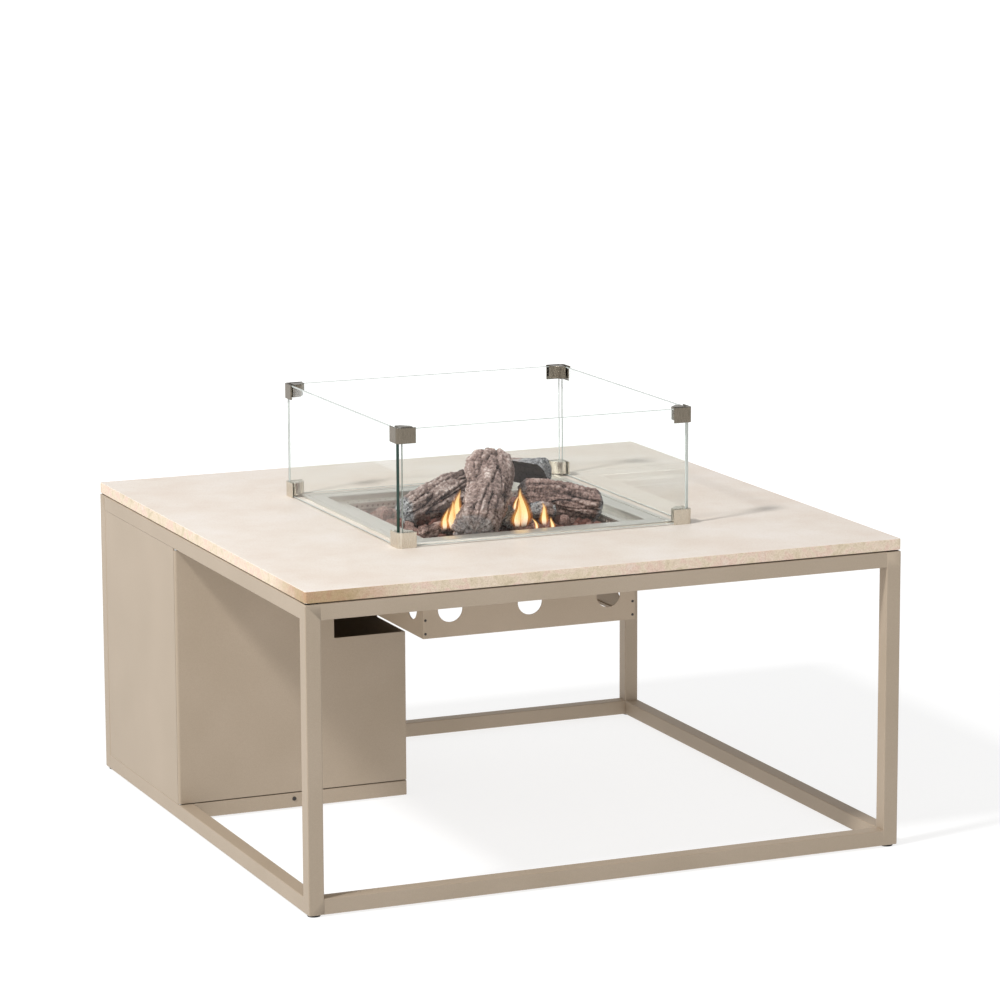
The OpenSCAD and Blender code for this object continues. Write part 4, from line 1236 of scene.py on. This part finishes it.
def buildLog(look):
    start, end, radius = barOf(solidsOf(look["node"])[look["bar"]])
    whole = end - start
    start += Vector(look["shift"]) * mm
    end += Vector(look["shift"]) * mm
    start, end = start - whole * look["longer"][0], end + whole * look["longer"][1]
    axis = whole.normalized()
    up = (Vector((0, 0, 1)) - axis * axis.z).normalized()
    side = axis.cross(up)
    length = (end - start).length
    ratio = length / radius
    rings = max(24, int(length / mm / logGrid["ringMm"]))
    sides, caps = logGrid["sides"], logGrid["capRings"]
    bow = Vector(look["bow"]) * length
    offset = Vector((look["seed"] * 3.7, look["seed"] * 1.9, look["seed"] * 0.7))
    shares = look["ends"]
    rows = [("a", q / caps) for q in range(1, caps)]
    rows += [("s", k / rings) for k in range(rings + 1)]
    rows += [("b", q / caps) for q in range(caps - 1, 0, -1)]
    coords, relief, ash, char = [], [], [], []

    def surface(where, t, fullness, angle):
        a = angle + look["twist"] * t * 2
        ring = Vector((math.cos(a), math.sin(a), 0))
        along = Vector((0, 0, t * ratio))
        # broad lumps, bark ridges that run lengthwise, then coarse and fine crumbs
        lump = noise.fractal(ring * 0.75 + along * 0.55 + offset, 1, 2, 3)
        wave = noise.fractal(ring * look["grooves"] * 0.4 + along * 0.45 + offset * 2, 0.9, 2.1, 4)
        crack = 1 - min(1, abs(noise.noise(
            ring * look["grooves"] * 0.32 + along * 0.32 + offset * 3)) * 6)
        coarse = noise.fractal(ring * 3.2 + along * 2.6 + offset, 0.8, 2.1, 3)
        crumb = noise.fractal(ring * 9 + along * 6 + offset, 0.7, 2.2, 3)
        share = (shares[0] * (1 - t) * (1 - 2 * t) + 4 * shares[1] * t * (1 - t)
                 + shares[2] * t * (2 * t - 1))
        for spot, turn, size, width in look["knots"]:
            off = math.cos(angle - math.radians(turn)) - 1
            share += size * math.exp(off * 2.6 - ((t - spot) / width) ** 2)
        height = (look["lump"] * lump + look["depth"] * (0.40 * wave - 0.50 * crack ** 2)
                  + 0.045 * coarse + 0.055 * crumb)
        edge = fullness ** 0.5 if where != "s" else 1.0
        nearEnd = min(t, 1 - t) * ratio
        rounding = 1 - 0.16 * max(0, 1 - nearEnd / 0.35) ** 2
        r = radius * share * rounding * edge * (1 + height * (0.4 + 0.6 * edge))
        centre = start + axis * (t * length) + bow * (4 * t * (1 - t))
        if where != "s":
            # ragged break across the end
            rough = noise.fractal(Vector((
                r * math.cos(angle), r * math.sin(angle), look["seed"] * mm)) / (9 * mm), 0.7, 2, 4)
            bulge = radius * (0.16 * (1 - fullness ** 2) + 0.12 * rough * (1 - fullness ** 4))
            centre += axis * (bulge if where == "b" else -bulge)
        radial = up * math.cos(angle) + side * math.sin(angle)
        point = centre + radial * r
        burnt = 0.0
        if "cut" in look:
            # a split face along the log, less deep towards the right
            turn, depth, ease = look["cut"]
            turn = math.radians(turn + 12 * t)
            normal = up * math.cos(turn) + side * math.sin(turn)
            over = (point - centre).dot(normal) - (depth + ease * t * t) * radius
            over -= 0.03 * radius * wave
            if over > 0:
                point -= normal * over
                burnt = min(1, over / (0.05 * radius))
        ashEnd = look["ash"][0] if t < 0.5 else look["ash"][1]
        dusty = min(1, 0.25 + 3 * ashEnd)
        if where == "s":
            dusty *= max(0, 1 - nearEnd / (0.2 + 2.2 * ashEnd))
        patch = noise.fractal(ring * 1.6 + along + offset, 1, 2, 3)
        dusty = max(0, min(1, dusty * 1.2 + 0.5 * patch * (0.3 + ashEnd) + ashEnd * 0.35 - 0.15))
        level = 0.5 + 1.1 * height / (look["lump"] + look["depth"] + 0.09)
        return point, level, dusty, burnt

    def keep(found):
        coords.append(found[0])
        relief.append(max(0, min(1, found[1])))
        ash.append(found[2])
        char.append(found[3])

    for where, q in rows:
        t = {"a": 0.0, "b": 1.0}.get(where, q)
        for k in range(sides):
            keep(surface(where, t, q if where != "s" else 1, 2 * math.pi * k / sides))
    for where, t in (("a", 0.0), ("b", 1.0)):
        keep(surface(where, t, 0.001, 0.0))
    count = len(rows)
    faces = []
    for i in range(count - 1):
        for k in range(sides):
            n = (k + 1) % sides
            faces.append((i * sides + k, i * sides + n, (i + 1) * sides + n, (i + 1) * sides + k))
    first, last = count * sides, count * sides + 1
    for k in range(sides):
        n = (k + 1) % sides
        faces.append((first, n, k))
        faces.append((last, (count - 1) * sides + k, (count - 1) * sides + n))
    mesh = bpy.data.meshes.new("work")
    mesh.from_pydata(coords, [], faces)
    for label, values in (("relief", relief), ("ash", ash), ("char", char),
                          ("warm", [look["warm"]] * len(coords))):
        mesh.attributes.new(label, "FLOAT", "POINT").data.foreach_set("value", values)
    shape = bmesh.new()
    shape.from_mesh(mesh)
    bmesh.ops.recalc_face_normals(shape, faces=shape.faces)
    return meshFrom(shape, 80)


for name, look in logLooks.items():
    newPiece(name, buildLog(look), "table", [look["node"]], [finish["bark"]])
print("logs made")


# flames
flameLooks = [
    # foot in mm, height, width, lean to the right, seed
    ((-96, -117, 495), 68, 29, 2, 1),
    ((-105, -115, 495), 50, 25, -3, 2),
    ((-119, -117, 496), 38, 17, 4, 9),
    ((-18, -10, 531), 24, 13, 5, 3),
    ((14, -90, 512), 30, 8, 12, 5),
    ((8, -141, 495), 68, 31, -3, 4),
    ((-2, -139, 495), 48, 23, 2, 10),
    ((44, -142, 495), 40, 19, -5, 6),
    ((25, -155, 491), 22, 9, -8, 7),
    ((50, -161, 491), 22, 11, -3, 8),
]


def flameMesh(foot, height, width, lean, seed, share):
    rings, sides = 26, 20
    loops, rise = [], []
    for i in range(rings + 1):
        t = i / rings
        # full below the middle, drawn in at the foot, long thin tip
        swell = (1 - t) ** 0.8 * (0.45 + 0.55 * math.sin(min(1, t / 0.3) * math.pi / 2)) * 1.22
        wide = width / 2 * share * swell
        sway = lean * t * t + width * 0.16 * math.sin(5.2 * t + seed * 1.7) * t
        loop = []
        for k in range(sides):
            a = 2 * math.pi * k / sides
            ripple = 1 + 0.16 * noise.noise(Vector((
                math.cos(a) * 1.3, math.sin(a) * 1.3, t * 3.1 + seed * 5)))
            loop.append(Vector((
                foot[0] + sway + wide * ripple * math.cos(a),
                foot[1] + wide * 0.7 * ripple * math.sin(a),
                foot[2] + height * t * (0.86 + 0.14 * share))) * mm)
            rise.append(t)
        loops.append(loop)
    mesh = meshFrom(loft(loops), 180)
    bottom, top = foot[2] * mm, (foot[2] + height) * mm
    values = [min(1, max(0, (v.co.z - bottom) / (top - bottom))) for v in mesh.vertices]
    mesh.attributes.new("rise", "FLOAT", "POINT").data.foreach_set("value", values)
    return mesh


def buildFlames():
    # nested shells, so a flame is thin at its edge and bright inside
    shells = (("flamesOuter", 1.0, "flameOuter"), ("flamesMiddle", 0.74, "flameMiddle"),
              ("flamesInner", 0.44, "flameInner"))
    for name, share, kind in shells:
        parts = [flameMesh(*look, share) for look in flameLooks]
        for part in parts:
            part.materials.append(finish[kind])
        mesh = joined(*parts)
        mesh.shade_smooth()
        newPiece(name, mesh, "table")


buildFlames()
print("flames made")


# glass screen
glassLook = {"arris": 0.7}
screenPieces = {
    "glass_front": "frontPane", "glass_back": "backPane",
    "glass_left": "leftPane", "glass_right": "rightPane",
}


def buildPane(node, name):
    low, high = (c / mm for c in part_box(node))
    size, middle = (high - low) / 2, (high + low) / 2
    c = glassLook["arris"]
    spot = (middle.x, middle.y)
    shape = loft([
        ringLoop(size.x - c, size.y - c, low.z, 0.01, 1, spot),
        ringLoop(size.x, size.y, low.z + c, c, 1, spot),
        ringLoop(size.x, size.y, high.z - c, c, 1, spot),
        ringLoop(size.x - c, size.y - c, high.z, 0.01, 1, spot)])
    thin = 0 if size.x < size.y else 1
    for face in shape.faces:
        face.material_index = 0 if abs(face.normal[thin]) > 0.9 else 1
        # the longest way through the glass is along the left pane, out of its front end: that end
        # gets the deep green edge as painted shade, and the front pane's left end the grey one as
        # painted shade; the other edges show painted reflection
        if node == "glass_left" and face.normal.y < -0.5:
            face.material_index = 2
        if node == "glass_front" and face.normal.x < -0.5:
            face.material_index = 3
    newPiece(name, meshFrom(shape), "screen", [node],
             [finish["glass"], finish["edge"], finish["edgePaintedShade"], finish["edgeGrey"]])


for node, name in screenPieces.items():
    buildPane(node, name)

clampLook = {
    "height": 25,
    "cornerRadius": 7,
    "plate": 2.5,
    "bevel": 9,
    "soft": 0.6,
    "step": 4,        # the inner block starts above the rim
}


def clampShape(lift):
    # a clamp of the front left corner, about the middle of the table
    low, high = (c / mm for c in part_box("clamps_front_left"))
    low.z += lift
    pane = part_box("glass_front")
    screen, height = -low.x, clampLook["height"]
    r, p = clampLook["cornerRadius"], clampLook["plate"]
    arc = []
    for k in range(13):
        a = math.radians(180 + 90 * k / 12)
        arc.append((-screen + r + r * math.cos(a), -screen + r + r * math.sin(a)))
    web = pane[0].x / mm - 0.2
    tip = high.x + 2
    outline = arc + [
        (tip, -screen), (tip, -screen + p), (web, -screen + p), (web, web),
        (-screen + p, web), (-screen + p, tip), (-screen, tip)]
    angle = extruded(outline, low.z, low.z + height, clampLook["soft"], 3)
    inside = pane[1].y / mm + 0.4
    b = clampLook["bevel"]
    block = [(inside, inside), (high.x, inside), (high.x, inside + b),
             (inside + b, high.x), (inside, high.x)]
    inner = extruded(block, low.z + clampLook["step"], low.z + height, clampLook["soft"], 3)
    return joined(meshFrom(angle), meshFrom(inner))


def buildClamps():
    low, high = (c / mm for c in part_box("clamps_front_left"))
    tree, sockets = squareRepeat
    lower = run(tree, sockets, clampShape(0), count=1, pitch=0.0, levels=1, rise=0.0,
                weld=0.0, finish=finish["nickel"])
    # the upper clamps take the nickel copy with painted shade and painted reflection
    upper = run(tree, sockets, clampShape(high.z - low.z - clampLook["height"]), count=1,
                pitch=0.0, levels=1, rise=0.0, weld=0.0, finish=finish["nickelPaintedShade"])
    corners = [f"clamps_{a}_{b}" for a in ("front", "back") for b in ("left", "right")]
    newPiece("cornerClamps", evenNormals(joined(lower, upper)), "screen",
             corners)


def socketHead(radius, height, sides=24):
    # screw head with a hexagon socket
    outer = [(radius, 0), (radius, height - 0.35), (radius - 0.35, height)]
    loops = []
    for r, z in outer:
        loops.append([Vector((
            r * math.cos(2 * math.pi * k / sides), r * math.sin(2 * math.pi * k / sides), z)) * mm
            for k in range(sides)])
    key = radius * 0.52
    for z in (height, height - 0.7 * height):
        loop = []
        for k in range(sides):
            a = 2 * math.pi * k / sides
            flat = key / math.cos((a + math.pi / 6) % (math.pi / 3) - math.pi / 6)
            loop.append(Vector((flat * math.cos(a), flat * math.sin(a), z)) * mm)
        loops.append(loop)
    return meshFrom(loft(loops), 30)


def rivetHead(radius, height):
    # blind rivet: domed flange round the broken end of its stem
    profile = [(radius, 0), (radius * 0.97, height * 0.45), (radius * 0.8, height * 0.85),
               (radius * 0.55, height), (radius * 0.42, height * 0.9),
               (radius * 0.40, height * 0.4)]
    return meshFrom(turned(profile, 20), 50)


def buildHeads(node, name, body, head, material, outward):
    # one head for each solid of the node, facing the way that solid stands out
    points = bmesh.new()
    facing = []
    for solid in solidsOf(node):
        low, high = solid.min(0), solid.max(0)
        axis = int(np.argmin(high - low))
        middle = (low + high) / 2
        sign = -1 if axis == 2 else (1 if middle[axis] > 0 else -1) * outward
        spot = middle.copy()
        spot[axis] = low[axis] if sign > 0 else high[axis]
        points.verts.new(Vector(spot))
        way = [0.0, 0.0, 0.0]
        way[axis] = float(sign)
        facing += way
    mesh = meshFrom(points)
    mesh.attributes.new("facing", "FLOAT_VECTOR", "POINT").data.foreach_set("vector", facing)
    unit = bpy.data.objects.new("unit", head)
    bpy.context.scene.collection.objects.link(unit)
    tree, sockets = headRepeat
    made = run(tree, sockets, mesh, head=unit, finish=material)
    bpy.data.objects.remove(unit)
    newPiece(name, made, body, [node])


buildClamps()
buildHeads("clamp_screws", "clampScrews", "screen", socketHead(2.4, 1.0),
           finish["zinc"], -1)
buildHeads("housing_rivets", "housingRivets", "table", rivetHead(2.2, 0.8),
           finish["dark"], 1)
buildHeads("frame_screws", "frameScrews", "table", socketHead(3.5, 1.2),
           finish["dark"], -1)
print("glass screen, clamps and heads made")


# controls
knobLook = {"flutes": 22, "fluteDepth": 0.7, "tickCount": 9}


def alongX(shape, spot):
    # from about +Z to about +X at this place in metres
    shape.transform(Matrix.Translation(spot) @ Matrix.Rotation(math.radians(90), 4, "Y"))
    return shape


def buildKnob():
    low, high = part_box("gas_knob")
    spot = Vector((low.x, (low.y + high.y) / 2, (low.z + high.z) / 2))
    radius, length = (high.y - low.y) / 2 / mm, (high.x - low.x) / mm
    grip = radius - 4
    spread = knobLook["fluteDepth"]

    def fluted(a, r, z):
        return r if z < 6 or r < grip - 3 else r + spread * (math.cos(knobLook["flutes"] * a) - 1)

    profile = [(radius - 0.6, 0), (radius, 0.6), (radius, 3.2), (radius - 1.2, 4.6),
               (grip + 0.6, 5.2), (grip, 6.2), (grip - 0.5, length - 2.4),
               (grip - 1.4, length - 0.9), (grip - 3.2, length - 0.3),
               (grip - 6, length - 0.2), (0.4, length - 0.6)]
    knob = turned(profile, 132, fluted)
    knob = meshFrom(alongX(knob, spot), 40)
    bar = [(-radius + 0.6, -2), (-radius + 2.2, -2.8), (-3, -2.8), (-3, 2.8),
           (-radius + 2.2, 2.8), (-radius + 0.6, 2)]
    pointer = meshFrom(alongX(extruded(bar, 0.6, length - 0.05, 0.8), spot), 40)
    stripe = [(-radius + 3.5, -0.6), (-6, -0.6), (-6, 0.6), (-radius + 3.5, 0.6)]
    line = meshFrom(alongX(extruded(stripe, length - 0.5, length, 0.15), spot), 40)
    for part in (knob, pointer):
        part.materials.append(finish["black"])
    line.materials.append(finish["mark"])
    newPiece("gasKnob", joined(knob, pointer, line), "knob", ["gas_knob"])


def buildButton():
    low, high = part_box("igniter_button")
    spot = Vector((low.x, (low.y + high.y) / 2, (low.z + high.z) / 2))
    r, length = (high.y - low.y) / 2 / mm, (high.x - low.x) / mm
    profile = [(r - 0.4, 0), (r, 0.4), (r, length - 1.6), (r - 0.5, length - 0.6),
               (r - 1.6, length - 0.1), (r - 3, length), (r - 5, length - 0.5),
               (0.3, length - 0.8)]
    mesh = meshFrom(alongX(turned(profile, 40), spot), 40)
    newPiece("igniterButton", mesh, "button", ["igniter_button"],
             [finish["red"]])


def buildPanel():
    mesh = evenNormals(meshFrom(softEdges(cadCopy("control_panel"), 0.6)))
    mesh.materials.clear()
    mesh.materials.append(finish["brushed"])
    layer = mesh.uv_layers.get("grain") or mesh.uv_layers.new(name="grain")
    for face in mesh.polygons:
        for k in face.loop_indices:
            p = mesh.vertices[mesh.loops[k].vertex_index].co
            layer.data[k].uv = (p.y, p.z + p.x)
    low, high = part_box("gas_knob")
    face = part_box("control_panel")[1].x
    middle = Vector((face, (low.y + high.y) / 2, (low.z + high.z) / 2))
    radius = (high.y - low.y) / 2 / mm
    marks = []
    for k in range(knobLook["tickCount"]):
        # plain ticks over the knob's half turn, longer at the ends and the middle
        turn = 180 * k / (knobLook["tickCount"] - 1)
        long = 1.6 if k % 4 == 0 else 0
        tick = extruded([(radius + 1.5, -0.45), (radius + 3.5 + long, -0.45),
                         (radius + 3.5 + long, 0.45), (radius + 1.5, 0.45)], -0.05, 0.12, 0.03, 1)
        tick.transform(Matrix.Rotation(math.radians(180 - turn), 4, "Z"))
        part = meshFrom(alongX(tick, middle))
        part.materials.append(finish["mark"])
        marks.append(part)
    newPiece("controlPanel", joined(mesh, *marks), "table", ["control_panel"])


buildKnob()
buildButton()
buildPanel()
print("controls made")
